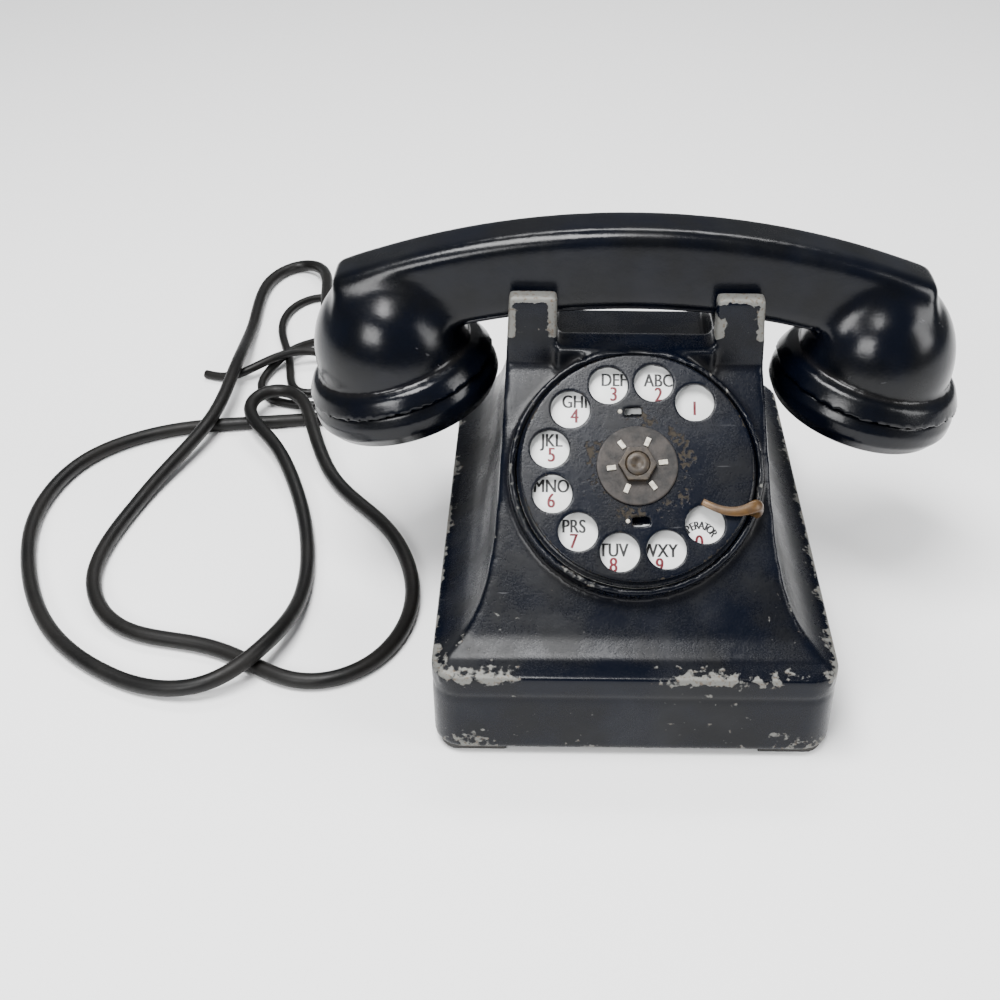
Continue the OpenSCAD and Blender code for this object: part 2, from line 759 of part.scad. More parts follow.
// Screws that hold the gongs
module gong_screws() {
    color("silver") for (x = [-1, 1]) translate([x * gong_x, gong_y, gong_z + gong_h]) screw(3, 8, 2);
}

// Pin that the clapper swings on
module clapper_pin() {
    color("silver") translate([0, clapper_y, deck_z]) cylinder(h = 18, d = 3);
}

// Rod, ball and armature that strike the gongs
module clapper() {
    rod_z = gong_z + 5;
    color("darkgoldenrod") translate([0, clapper_y, 0]) difference() {
        union() {
            translate([0, 0, rod_z - 3]) cylinder(h = 6, d = 7);
            translate([-1, 2, rod_z - 1]) cube([2, clapper_len - 3, 2]);
            translate([0, clapper_len, rod_z]) sphere(d = ball_d);
        }
        translate([0, 0, rod_z - 5]) cylinder(h = 10, d = 3 + 2 * run_fit);
    }
}

// ---------------------------------------------------------------------------
// Electrical pieces on the base

front_bay = -base_d / 2 + wall + 20;
can_back = front_bay + 26;
ringer_front = coil_y - 14.5;
strip_w = 12;
strip_t = 5;
strip_y = can_back + strip_w / 2 + (ringer_front - can_back - strip_w) * 0.254;

// Induction coil
module induction_coil() {
    color("saddlebrown") translate([24, front_bay + 14, deck_z]) {
        block(36, 18, 1.4);
        translate([-15, 0, 10.4]) rotate([0, 90, 0]) cylinder(h = 30, r = 8);
        for (x = [-17, 15]) translate([x, -9, tiny]) cube([2, 18, 19]);
    }
}

// Condenser can
module condenser() {
    color("silver") translate([-25, front_bay + 14, deck_z]) {
        block(38, 24, 18);
        for (x = [-8, 8]) translate([x, 0, 18 - tiny]) cylinder(h = 2, d = 5);
    }
}

// Terminal strip between the coil and the bell
module terminal_strip() {
    color("saddlebrown") translate([0, strip_y, deck_z]) block(70, strip_w, strip_t);
}

// Screws on the terminal strip
module terminal_screws() {
    color("goldenrod") for (i = [-3:3])
        translate([i * terminal_pitch, strip_y, deck_z + strip_t]) cylinder(h = 2, d = 5.4);
}

// ---------------------------------------------------------------------------
// Cords and what they come out of

// Rubber grommets in the back of the housing
module cord_grommets() {
    color("black") for (o = [[handset_outlet_x, handset_cord_d], [line_outlet_x, line_cord_d]])
        translate([o[0], outlet_y + bush_len - 2, outlet_z]) rotate([90, 0, 0]) rotate_extrude() polygon([
            [0, 2], [o[1] / 2 + 0.9, 2], [4.2, bush_len - 2.1], [6, bush_len - 2.1],
            [6, bush_len - 2.1 + tiny], [4.4, bush_len - 2], [4.4, bush_len + wall], [0, bush_len + wall]]);
}

module handset_cord() { color("black") cord(handset_route, handset_cord_d, 8); }
module line_cord() { color("black") cord(line_route, line_cord_d, 8); }

// ---------------------------------------------------------------------------
// Handset

// Handset as it lies, rolled round the middle of its arch
module in_hand() {
    translate([0, 0, arch_z]) rotate([0, handset_roll, 0]) translate([0, 0, -arch_z]) children();
}

// Place on a cup: the origin is in the middle of the joint with the cap, +Z up into the cup
module on_cup(side) {
    in_hand() translate([side * cup_x, cradle_y, seam_h])
        rotate([0, side < 0 ? -tx_tilt : rx_tilt, 0]) children();
}

// Outline of a cup, or of its hollow
module cup_outline(r, h) {
    polygon([[0, 0], [r, 0], [r, h * 0.25], [r * 0.95, h * 0.5], [r * 0.82, h * 0.75], [r * 0.55, h * 0.93],
        [0, h]]);
}

// Arched handle with both cups in one moulding
module handle() {
    half = handle_w / 2;
    ri = arch_r - handle_t;
    color("midnightblue") difference() {
        union() {
            in_hand() translate([0, cradle_y, arch_z]) rotate([90, 0, 0]) rotate([0, 0, 90 - rx_angle])
                rotate_extrude(angle = tx_angle + rx_angle, $fn = 180) polygon([
                    [ri, -half + 4], [ri + 5, -half], [arch_r - 6, -half], [arch_r, -half + 7],
                    [arch_r, half - 7], [arch_r - 6, half], [ri + 5, half], [ri, half - 4]]);
            for (s = [-1, 1]) on_cup(s) {
                rotate_extrude() cup_outline(cup_r, cup_rise + 8);
                translate([0, 0, cup_rise * 0.4]) cylinder(h = cup_rise * 0.8, r = cup_r * 0.62);
            }
        }
        for (s = [-1, 1]) on_cup(s) translate([0, 0, -tiny])
            rotate_extrude() cup_outline(cup_r - shell_t, cup_rise);
        in_hand() translate(bush_at) rotate([-90, 0, 0]) translate([0, 0, -20])
            cylinder(h = 30, d = bush_d + 2 * loose);
    }
}

// Screw cap over a cup: with its mouth down
module cap(side, holes, ring_r) {
    r = cap_d / 2;
    color("midnightblue") on_cup(side) difference() {
        rotate_extrude() polygon([[0, -cap_h], [r - 7, -cap_h], [r - 3, -cap_h + 1.5], [r, -cap_h + 6],
            [r, -5], [r - 1.6, -1.5], [cup_r, 0], [cup_r - shell_t, 0],
            [r - 4.5, -5], [r - 4.5, -cap_h + 5], [0, -cap_h + 3]]);
        for (i = [0:holes - 1]) at_polar(ring_r, i * 360 / holes) translate([0, 0, -cap_h - 1])
            cylinder(h = 6, d = 3.6);
        translate([0, 0, -cap_h - 1]) cylinder(h = 6, d = 3.6);
    }
}
module transmitter_cap() { cap(-1, 8, 13); }
module receiver_cap() { cap(1, 6, 7); }

// Round units behind the caps, each resting on its cap's floor
unit_z = -cap_h + 5.2;
unit_t = 4.4;
module transmitter_unit() {
    color("silver") on_cup(-1) translate([0, 0, unit_z]) {
        cylinder(h = unit_t, r = cap_d / 2 - 6);
        translate([0, 0, unit_t - tiny]) cylinder(h = 4, r = 14);
    }
}
module receiver_unit() {
    color("silver") on_cup(1) translate([0, 0, unit_z]) {
        cylinder(h = unit_t, r = cap_d / 2 - 6);
        translate([0, 0, unit_t - tiny]) cylinder(h = 8, r = 15);
    }
}

// Contact springs behind the transmitter
module transmitter_springs() {
    color("goldenrod") on_cup(-1) translate([0, 0, unit_z + unit_t + 4 - tiny]) {
        for (x = [-7, 7]) translate([x - 1.5, -3, 0]) cube([3, 6, 4]);
        translate([0, 0, 4 - tiny]) cylinder(h = 3, r = 16);
    }
}

// Flexible leads behind the receiver
module receiver_leads() {
    color("darkred") on_cup(1) for (x = [-5, 5]) translate([x, 0, unit_z + unit_t + 8 - tiny])
        cylinder(h = 10, d = 1.8);
}

// Bush where the cord leaves the handset
module handset_bush() {
    color("black") in_hand() translate(bush_at) rotate([-90, 0, 0]) {
        translate([0, 0, -14]) cylinder(h = 14, d = bush_d);
        translate([0, 0, -16]) cylinder(h = 2, d = bush_d + 4);
    }
}

// ---------------------------------------------------------------------------
housing();
base_plate();
feet();
base_screws();
dial_plate();
dial_case();
dial_screws();
number_plate();
finger_stop();
main_spring();
pulse_springs();
governor_cup();
hookswitch_frame();
hookswitch_springs();
bail_pin();
plunger_bushes();
ringer_frame();
ringer_coils();
ringer_magnet();
gong_left();
gong_right();
gong_screws();
clapper_pin();
induction_coil();
condenser();
terminal_strip();
terminal_screws();
cord_grommets();
handset_cord();
line_cord();
finger_wheel();
hub_disc();
hub_clips();
hub_nut();
main_shaft();
main_gear();
pulse_shaft();
pulse_gear();
pulse_cam();
governor_shaft();
governor_weights();
plunger_left();
plunger_right();
hook_bail();
clapper();
handle();
transmitter_cap();
receiver_cap();
transmitter_unit();
receiver_unit();
transmitter_springs();
receiver_leads();
handset_bush();
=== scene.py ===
"""Looks of a worn desk telephone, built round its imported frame."""

import json
import logging
import math
from dataclasses import dataclass, field
from enum import Enum
from typing import Callable, Iterable, Sequence

import bpy
import numpy as np
from mathutils import Matrix, Vector


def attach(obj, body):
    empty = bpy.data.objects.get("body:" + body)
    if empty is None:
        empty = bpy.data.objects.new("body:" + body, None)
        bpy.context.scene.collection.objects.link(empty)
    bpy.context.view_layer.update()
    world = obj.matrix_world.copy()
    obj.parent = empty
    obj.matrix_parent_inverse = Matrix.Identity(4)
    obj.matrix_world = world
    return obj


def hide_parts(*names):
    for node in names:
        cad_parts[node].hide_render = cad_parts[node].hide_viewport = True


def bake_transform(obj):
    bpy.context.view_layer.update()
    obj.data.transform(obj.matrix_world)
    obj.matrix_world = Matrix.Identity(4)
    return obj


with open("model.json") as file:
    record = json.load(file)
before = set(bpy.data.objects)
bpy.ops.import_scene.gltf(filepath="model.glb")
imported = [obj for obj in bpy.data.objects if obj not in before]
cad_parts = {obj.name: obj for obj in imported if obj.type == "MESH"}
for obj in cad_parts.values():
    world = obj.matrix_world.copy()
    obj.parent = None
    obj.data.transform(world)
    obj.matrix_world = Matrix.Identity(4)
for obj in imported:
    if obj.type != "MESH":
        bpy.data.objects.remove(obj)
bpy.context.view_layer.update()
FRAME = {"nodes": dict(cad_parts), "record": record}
LOG = logging.getLogger("telephone")
MM = 0.001
RELIEF_PASSES = 12
EDGE_REACH = 1.2
CHIP_DEPTH = 0.00012
CAST_DEPTH = 0.00006
Point = tuple[float, float, float]


# Shader building


class Shader:
    """A node material under construction."""

    def __init__(self, name: str) -> None:
        """Start an empty material with a principled shader.

        Args:
            name: Name of the material.
        """
        self.material = bpy.data.materials.new(name)
        self.material.use_nodes = True
        self.tree = self.material.node_tree
        self.surface = self.tree.nodes["Principled BSDF"]
        self.place = self.node("ShaderNodeTexCoord").outputs["Object"]

    def node(self, kind: str, **settings: object) -> bpy.types.Node:
        """Add a node.

        Args:
            kind: Name of the node's type.
            **settings: Properties to set on it.

        Returns:
            The new node.
        """
        made = self.tree.nodes.new(kind)
        for key, value in settings.items():
            setattr(made, key, value)
        return made

    def join(self, source: object, target: bpy.types.NodeSocket) -> None:
        """Link a socket, or set a plain value on the target.

        Args:
            source: An output socket, a number or a colour.
            target: The input socket.
        """
        if isinstance(source, bpy.types.NodeSocket):
            self.tree.links.new(source, target)
        else:
            target.default_value = source

    def noise(self, scale: float, detail: float = 4.0, stretch: Point = (1, 1, 1)) -> bpy.types.NodeSocket:
        """Fractal noise in object space.

        Args:
            scale: Features per metre.
            detail: Octaves.
            stretch: Factor along each axis.

        Returns:
            The noise value, from 0 to 1.
        """
        place = self.node("ShaderNodeMapping")
        self.join(self.place, place.inputs["Vector"])
        place.inputs["Scale"].default_value = stretch
        made = self.node("ShaderNodeTexNoise")
        made.inputs["Scale"].default_value = scale
        made.inputs["Detail"].default_value = detail
        self.join(place.outputs["Vector"], made.inputs["Vector"])
        return made.outputs["Fac"]

    def cells(self, scale: float) -> bpy.types.NodeSocket:
        """Distance to scattered cell centres.

        Args:
            scale: Cells per metre.

        Returns:
            The distance, from 0 at a centre.
        """
        made = self.node("ShaderNodeTexVoronoi")
        made.inputs["Scale"].default_value = scale
        self.join(self.place, made.inputs["Vector"])
        return made.outputs["Distance"]

    def ramp(
        self, value: object, low: float, high: float, bottom: float = 0.0, top: float = 1.0
    ) -> bpy.types.NodeSocket:
        """Smooth step of a value.

        Args:
            value: The socket to remap.
            low: Value that gives bottom.
            high: Value that gives top.
            bottom: Result at low.
            top: Result at high.

        Returns:
            The remapped value.
        """
        made = self.node("ShaderNodeMapRange", interpolation_type="SMOOTHSTEP")
        self.join(value, made.inputs["Value"])
        for key, number in (("From Min", low), ("From Max", high), ("To Min", bottom), ("To Max", top)):
            made.inputs[key].default_value = number
        return made.outputs["Result"]

    def math(self, operation: str, a: object, b: object = 0.0) -> bpy.types.NodeSocket:
        """Arithmetic on two values.

        Args:
            operation: Name of the operation.
            a: First socket or number.
            b: Second socket or number.

        Returns:
            The result.
        """
        made = self.node("ShaderNodeMath", operation=operation, use_clamp=operation != "SUBTRACT")
        self.join(a, made.inputs[0])
        self.join(b, made.inputs[1])
        return made.outputs[0]

    def mix(self, factor: object, a: object, b: object) -> bpy.types.NodeSocket:
        """Blend of two colours.

        Args:
            factor: 0 for the first colour, 1 for the second.
            a: First colour.
            b: Second colour.

        Returns:
            The blended colour.
        """
        made = self.node("ShaderNodeMix", data_type="RGBA")
        self.join(factor, made.inputs["Factor"])
        self.join(a, made.inputs["A"])
        self.join(b, made.inputs["B"])
        return made.outputs["Result"]

    def attribute(self, name: str) -> bpy.types.NodeSocket:
        """Value painted on the mesh.

        Args:
            name: Name of the mesh attribute.

        Returns:
            Its value.
        """
        return self.node("ShaderNodeAttribute", attribute_name=name).outputs["Fac"]

    def bump(self, height: object, depth: float, strength: float = 1.0) -> None:
        """Raise the surface in the shading, on top of earlier bumps.

        Args:
            height: Height, from 0 to 1.
            depth: Depth of the full height, in metres.
            strength: Share of the effect.
        """
        made = self.node("ShaderNodeBump")
        made.inputs["Strength"].default_value = strength
        made.inputs["Distance"].default_value = depth
        self.join(height, made.inputs["Height"])
        normal = self.surface.inputs["Normal"]
        if normal.is_linked:
            self.join(normal.links[0].from_socket, made.inputs["Normal"])
        self.join(made.outputs["Normal"], normal)


def rgba(colour: Sequence[float]) -> tuple[float, float, float, float]:
    """Colour with full opacity."""
    return (colour[0], colour[1], colour[2], 1.0)


# Finishes


@dataclass(frozen=True)
class Finish:
    """A plain finish: mottled colour, uneven gloss and a fine grain.

    The colours are linear, the grain and mottle are features per metre and the relief is in metres.
    """

    name: str
    colour: Point
    shade: Point
    gloss: tuple[float, float] = (0.35, 0.55)
    metal: float = 0.0
    coat: float = 0.0
    shine: float = 0.5
    mottle: float = 60.0
    grain: float = 1500.0
    relief: float = 0.00003
    stretch: Point = (1, 1, 1)
    grime: Point = (0.02, 0.017, 0.013)
    grime_amount: float = 0.6
    coat_gloss: float = 0.2

    def shader(self) -> Shader:
        """Build the finish's nodes.

        Returns:
            The shader, for a finish that adds more to it.
        """
        made = Shader(self.name)
        slow = made.noise(self.mottle, 5.0, self.stretch)
        fine = made.noise(self.grain, 3.0, self.stretch)
        colour = made.mix(made.ramp(slow, 0.32, 0.68), rgba(self.colour), rgba(self.shade))
        dirt = made.math("MULTIPLY", made.attribute("hollow"), self.grime_amount)
        colour = made.mix(dirt, colour, rgba(self.grime))
        made.join(colour, made.surface.inputs["Base Color"])
        uneven = made.math("ADD", made.math("MULTIPLY", slow, 0.6), made.math("MULTIPLY", fine, 0.4))
        made.join(made.ramp(uneven, 0.3, 0.7, *self.gloss), made.surface.inputs["Roughness"])
        made.surface.inputs["Metallic"].default_value = self.metal
        made.surface.inputs["Specular IOR Level"].default_value = self.shine
        made.surface.inputs["Coat Weight"].default_value = self.coat
        made.surface.inputs["Coat Roughness"].default_value = self.coat_gloss
        made.bump(fine, self.relief)
        return made

    def material(self) -> bpy.types.Material:
        """Material of this finish."""
        return self.shader().material


@dataclass(frozen=True)
class WornPaint(Finish):
    """Paint over cast metal, chipped along its edges, with scratches and dust."""

    metal_colour: Point = (0.15, 0.15, 0.14)
    rust: Point = (0.10, 0.075, 0.055)
    chip_size: float = 420.0
    chipping: float = 0.5
    scratches: float = 0.25
    scratch_colour: Point = (0.2, 0.2, 0.21)
    dust: float = 0.03
    dust_colour: Point = (0.16, 0.165, 0.175)
    dust_dulling: float = 1.6
    bare_rough: float = 0.62
    bare_metal: float = 0.55

    def material(self) -> bpy.types.Material:
        """Material of this finish.

        Returns:
            Paint with chips that follow the mesh's edge and rub attributes.
        """
        made = self.shader()
        surface = made.surface
        paint = surface.inputs["Base Color"].links[0].from_socket
        gloss = surface.inputs["Roughness"].links[0].from_socket
        broken = made.noise(self.chip_size, 6.0)
        patchy = made.noise(self.chip_size / 7, 3.0)
        edge = made.math("MULTIPLY", made.attribute("edge"), made.ramp(patchy, 0.35, 0.62))
        rub = made.math("MULTIPLY", made.attribute("rub"), made.ramp(patchy, 0.36, 0.6, 0.78, 1.12))
        wear = made.math("ADD", made.math("MULTIPLY", edge, self.chipping), rub)
        bare = made.ramp(made.math("ADD", wear, made.math("MULTIPLY", broken, 0.5)), 0.62, 0.68)
        metal = made.mix(made.ramp(made.noise(900.0), 0.5, 0.72), rgba(self.metal_colour), rgba(self.rust))
        film = made.math("MULTIPLY", made.ramp(made.noise(38.0, 7.0), 0.45, 0.75), self.dust)
        dusty = made.mix(film, paint, rgba(self.dust_colour))
        hair = made.ramp(made.noise(90.0, 2.0, (1, 9, 4)), 0.72, 0.76)
        hair = made.math("MULTIPLY", hair, made.ramp(made.noise(25.0), 0.5, 0.7))
        scuffed = made.mix(made.math("MULTIPLY", hair, self.scratches), dusty, rgba(self.scratch_colour))
        made.join(made.mix(bare, scuffed, metal), surface.inputs["Base Color"])
        dull = made.math("ADD", gloss, made.math("MULTIPLY", film, self.dust_dulling))
        rough = made.node("ShaderNodeMix", data_type="FLOAT")
        made.join(bare, rough.inputs["Factor"])
        made.join(dull, rough.inputs["A"])
        rough.inputs["B"].default_value = self.bare_rough
        made.join(rough.outputs["Result"], surface.inputs["Roughness"])
        made.join(made.math("MULTIPLY", bare, self.bare_metal), surface.inputs["Metallic"])
        made.bump(made.noise(240.0, 4.0), CAST_DEPTH)
        made.bump(made.math("SUBTRACT", 1.0, bare), CHIP_DEPTH)
        return made.material


class Slot(Enum):
    """Material slots of the record, each with its finish."""

    BODY_PAINT = WornPaint(
        "body_paint", (0.0009, 0.0019, 0.0055), (0.0005, 0.0009, 0.0022), (0.19, 0.36),
        coat=0.02, shine=0.16, chipping=0.26,
    )
    WHEEL_PAINT = WornPaint(
        "wheel_paint", (0.0009, 0.0021, 0.0062), (0.0006, 0.0010, 0.0026), (0.18, 0.34),
        coat=0.02, shine=0.16, chip_size=700.0, chipping=0.22,
        metal_colour=(0.030, 0.025, 0.019), rust=(0.010, 0.008, 0.007),
    )
    HANDSET_SHELL = WornPaint(
        "handset_shell", (0.0008, 0.0015, 0.0040), (0.0004, 0.0007, 0.0015), (0.15, 0.27),
        coat=0.03, shine=0.22, chipping=0.0, dust=0.02, scratches=0.45,
    )
    NUMBER_ENAMEL = Finish(
        "number_enamel", (0.80, 0.81, 0.80), (0.70, 0.71, 0.70), (0.12, 0.28),
        coat=0.4, mottle=90.0, relief=0.00001, grime=(0.30, 0.27, 0.22), grime_amount=0.5,
    )
    HUB_BROWN = Finish(
        "hub_brown", (0.013, 0.008, 0.005), (0.004, 0.0032, 0.0028), (0.5, 0.75), 0.1, mottle=260.0
    )
    HUB_BRASS = Finish(
        "hub_brass", (0.028, 0.018, 0.008), (0.012, 0.008, 0.005), (0.4, 0.62), 0.25, mottle=500.0
    )
    CLIP_TIN = Finish("clip_tin", (0.52, 0.49, 0.42), (0.33, 0.30, 0.24), (0.4, 0.6), 0.1, mottle=600.0)
    STOP_BRASS = Finish(
        "stop_brass", (0.085, 0.044, 0.013), (0.045, 0.023, 0.008), (0.3, 0.48), 0.3, mottle=300.0
    )
    FOOT_RUBBER = Finish(
        "foot_rubber", (0.014, 0.014, 0.014), (0.03, 0.028, 0.026), (0.6, 0.85), relief=0.00008
    )
    CORD_RUBBER = Finish(
        "cord_rubber", (0.0025, 0.0025, 0.0025), (0.005, 0.0045, 0.004), (0.38, 0.55),
        shine=0.22, mottle=45.0, grain=900.0, relief=0.00005,
    )
    PLATED_STEEL = Finish(
        "plated_steel", (0.48, 0.48, 0.47), (0.34, 0.34, 0.33), (0.3, 0.5), 0.9, mottle=160.0
    )
    DARK_STEEL = Finish(
        "dark_steel", (0.12, 0.12, 0.125), (0.07, 0.068, 0.066), (0.4, 0.6), 0.8, mottle=120.0
    )
    SPRING_BRASS = Finish(
        "spring_brass", (0.62, 0.46, 0.24), (0.45, 0.33, 0.17), (0.25, 0.45), 0.9, mottle=200.0
    )
    GONG_BRASS = Finish(
        "gong_brass", (0.55, 0.41, 0.20), (0.36, 0.27, 0.14), (0.22, 0.42), 0.95, mottle=90.0
    )
    COIL_WRAP = Finish(
        "coil_wrap", (0.20, 0.075, 0.03), (0.12, 0.045, 0.02), (0.35, 0.6),
        coat=0.3, grain=2600.0, stretch=(1, 0.1, 1),
    )
    CAN_TIN = Finish("can_tin", (0.55, 0.55, 0.53), (0.40, 0.40, 0.39), (0.28, 0.5), 0.85, mottle=110.0)
    FIBRE = Finish(
        "fibre", (0.14, 0.055, 0.025), (0.09, 0.036, 0.018), (0.5, 0.7), grain=2200.0, relief=0.00006
    )
    IVORY_PLASTIC = Finish(
        "ivory_plastic", (0.74, 0.70, 0.58), (0.62, 0.57, 0.44), (0.3, 0.45), mottle=120.0
    )

    @property
    def slot_name(self) -> str:
        """Name of the slot in the record."""
        return self.value.name


class Wardrobe:
    """Materials made once and handed to every piece that wears them."""

    def __init__(self) -> None:
        """Start with no material made."""
        self.made: dict[str, bpy.types.Material] = {}

    def of(self, finish: Finish) -> bpy.types.Material:
        """Material of a finish.

        Args:
            finish: The finish to wear.

        Returns:
            Its material, made at the first call.
        """
        if finish.name not in self.made:
            self.made[finish.name] = finish.material()
        return self.made[finish.name]


WARDROBE = Wardrobe()


# Mesh building


def placed(name: str, data: bpy.types.ID) -> bpy.types.Object:
    """Object of some data, linked to the scene.

    Args:
        name: Name of the object.
        data: Its mesh, curve, lamp or camera.

    Returns:
        The new object.
    """
    made = bpy.data.objects.new(name, data)
    bpy.context.scene.collection.objects.link(made)
    return made


def baked(holder: bpy.types.Object) -> bpy.types.Mesh:
    """Mesh that an object's modifiers or type give.

    Args:
        holder: The object, which is deleted.

    Returns:
        The mesh.
    """
    mesh = bpy.data.meshes.new_from_object(holder.evaluated_get(bpy.context.evaluated_depsgraph_get()))
    bpy.data.objects.remove(holder)
    return mesh


def shifted(x: float, y: float, z: float) -> Matrix:
    """Shift, given in millimetres."""
    return Matrix.Translation((x * MM, y * MM, z * MM))


def new_mesh(name: str, points: Iterable, faces: Iterable) -> bpy.types.Object:
    """Object from points and faces, smooth shaded and linked to the scene.

    Args:
        name: Name of the object.
        points: Points, in metres.
        faces: Point numbers of each face.

    Returns:
        The new object.
    """
    mesh = bpy.data.meshes.new(name)
    mesh.from_pydata(np.asarray(points, float).tolist(), [], [list(map(int, f)) for f in faces])
    mesh.validate()
    mesh.shade_smooth()
    return placed(name, mesh)


def coordinates(mesh: bpy.types.Mesh) -> np.ndarray:
    """Points of a mesh, one row each."""
    flat = np.empty(len(mesh.vertices) * 3)
    mesh.vertices.foreach_get("co", flat)
    return flat.reshape(-1, 3)


def edge_pairs(mesh: bpy.types.Mesh) -> np.ndarray:
    """Point numbers of a mesh's edges, one pair a row."""
    flat = np.empty(len(mesh.edges) * 2, int)
    mesh.edges.foreach_get("vertices", flat)
    return flat.reshape(-1, 2)


def relaxed(points: np.ndarray, edges: np.ndarray, passes: int) -> np.ndarray:
    """Points moved towards their neighbours' mean.

    Args:
        points: Points, one row each.
        edges: Pairs of point numbers.
        passes: How many times to move them.

    Returns:
        The moved points.
    """
    count = np.bincount(edges.ravel(), minlength=len(points))[:, None]
    for _ in range(passes):
        total = np.empty_like(points)
        for axis in range(3):
            ahead = np.bincount(edges[:, 0], points[edges[:, 1], axis], len(points))
            behind = np.bincount(edges[:, 1], points[edges[:, 0], axis], len(points))
            total[:, axis] = ahead + behind
        points = points + 0.5 * (total / np.maximum(count, 1) - points)
    return points


def paint(mesh: bpy.types.Mesh, name: str, values: np.ndarray) -> None:
    """Store one value a point on a mesh.

    Args:
        mesh: The mesh.
        name: Name of the attribute.
        values: The values.
    """
    layer = mesh.attributes.get(name) or mesh.attributes.new(name, "FLOAT", "POINT")
    layer.data.foreach_set("value", np.asarray(values, np.float32))


def stored(mesh: bpy.types.Mesh, name: str) -> np.ndarray:
    """Values of a mesh's attribute, one a point."""
    values = np.empty(len(mesh.vertices), np.float32)
    mesh.attributes[name].data.foreach_get("value", values)
    return values


def paint_relief(mesh: bpy.types.Mesh, reach: float) -> None:
    """Mark a mesh's edges and hollows for its finish.

    Args:
        mesh: The mesh, with even faces.
        reach: Height that counts as a full edge, in metres.
    """
    points = coordinates(mesh)
    normals = np.empty(len(points) * 3)
    mesh.vertices.foreach_get("normal", normals)
    raised = points - relaxed(points, edge_pairs(mesh), RELIEF_PASSES)
    height = (raised * normals.reshape(-1, 3)).sum(1) / reach
    paint(mesh, "edge", np.clip(height, 0, 1))
    paint(mesh, "hollow", np.clip(-height, 0, 1))


def softened(
    name: str, node: str, voxel: float, passes: int, place: Matrix | None = None
) -> bpy.types.Object:
    """Copy of a frame node with its edges rounded.

    Args:
        name: Name of the new object.
        node: Frame node that gives the shape.
        voxel: Size of the new mesh's faces, in metres.
        passes: How far the edges are rounded.
        place: Frame in which the faces line up.

    Returns:
        The new object, with edge and hollow attributes.
    """
    place = place or Matrix.Identity(4)
    source = FRAME["nodes"][node].data.copy()
    source.transform(place.inverted())
    holder = placed(name, source)
    remesh = holder.modifiers.new("remesh", "REMESH")
    remesh.mode = "VOXEL"
    remesh.voxel_size = voxel
    remesh.adaptivity = 0.0
    mesh = baked(holder)
    points = relaxed(coordinates(mesh), edge_pairs(mesh), passes)
    mesh.vertices.foreach_set("co", points.ravel())
    mesh.transform(place)
    if "sharp_face" in mesh.attributes:
        mesh.attributes.remove(mesh.attributes["sharp_face"])
    mesh.shade_smooth()
    mesh.update()
    mesh.name = name
    paint_relief(mesh, voxel * EDGE_REACH)
    return placed(name, mesh)


def surface_net(values: np.ndarray, corner: np.ndarray, step: float) -> tuple[np.ndarray, np.ndarray]:
    """Smooth quads over the zero surface of a sampled solid.

    Args:
        values: Signed distance at each grid point, negative inside.
        corner: Place of the first grid point.
        step: Grid spacing.

    Returns:
        The points and the quads.
    """
    inside = values < 0
    cells = tuple(n - 1 for n in values.shape)
    total = np.zeros(cells + (3,))
    count = np.zeros(cells)
    corners = [(i, j, k) for i in (0, 1) for j in (0, 1) for k in (0, 1)]
    for a in corners:
        for axis in range(3):
            if a[axis]:
                continue
            b = tuple(v + (n == axis) for n, v in enumerate(a))
            at_a = tuple(slice(o, o + c) for o, c in zip(a, cells))
            at_b = tuple(slice(o, o + c) for o, c in zip(b, cells))
            crosses = inside[at_a] != inside[at_b]
            share = np.where(crosses, values[at_a] / np.where(crosses, values[at_a] - values[at_b], 1), 0)
            count += crosses
            for n in range(3):
                total[..., n] += crosses * (a[n] + (share if n == axis else 0))
    live = count > 0
    number = np.full(cells, -1)
    number[live] = np.arange(live.sum())
    points = (np.argwhere(live) + total[live] / count[live][:, None]) * step + corner
    quads = []
    for axis in range(3):
        u, v = (axis + 1) % 3, (axis + 2) % 3
        low = [slice(None)] * 3
        high = [slice(None)] * 3
        low[axis], high[axis] = slice(0, -1), slice(1, None)
        changed = inside[tuple(low)] != inside[tuple(high)]
        spots = np.argwhere(changed)
        keep = np.all([(spots[:, w] > 0) & (spots[:, w] < values.shape[w] - 1) for w in (u, v)], axis=0)
        spots = spots[keep]
        out = inside[tuple(spots.T)]
        ring = []
        for du, dv in ((-1, -1), (0, -1), (0, 0), (-1, 0)):
            cell = spots.copy()
            cell[:, u] += du
            cell[:, v] += dv
            ring.append(number[tuple(cell.T)])
        quad = np.stack(ring, 1)
        quads.append(np.where(out[:, None], quad, quad[:, ::-1]))
    return points, np.concatenate(quads)


def soft_min(a: np.ndarray, b: np.ndarray, blend: float) -> np.ndarray:
    """Union of two solids with a rounded joint.

    Args:
        a: Distance to the first solid.
        b: Distance to the second solid.
        blend: Size of the rounding.

    Returns:
        Distance to their union.
    """
    h = np.clip(0.5 + 0.5 * (b - a) / blend, 0, 1)
    return b + (a - b) * h - blend * h * (1 - h)


def soft_max(a: np.ndarray, b: np.ndarray, blend: float) -> np.ndarray:
    """Intersection of two solids with a rounded edge."""
    return -soft_min(-a, -b, blend)


def tube_faces(rings: int, sides: int) -> list[tuple[int, ...]]:
    """Quads between rings of points, and a face over each end.

    Args:
        rings: How many rings.
        sides: Points round each ring.

    Returns:
        Point numbers of each face.
    """
    faces = []
    for n in range(rings - 1):
        for k in range(sides):
            m = (k + 1) % sides
            faces.append((n * sides + k, n * sides + m, (n + 1) * sides + m, (n + 1) * sides + k))
    faces.append(tuple(range(sides))[::-1])
    faces.append(tuple((rings - 1) * sides + k for k in range(sides)))
    return faces


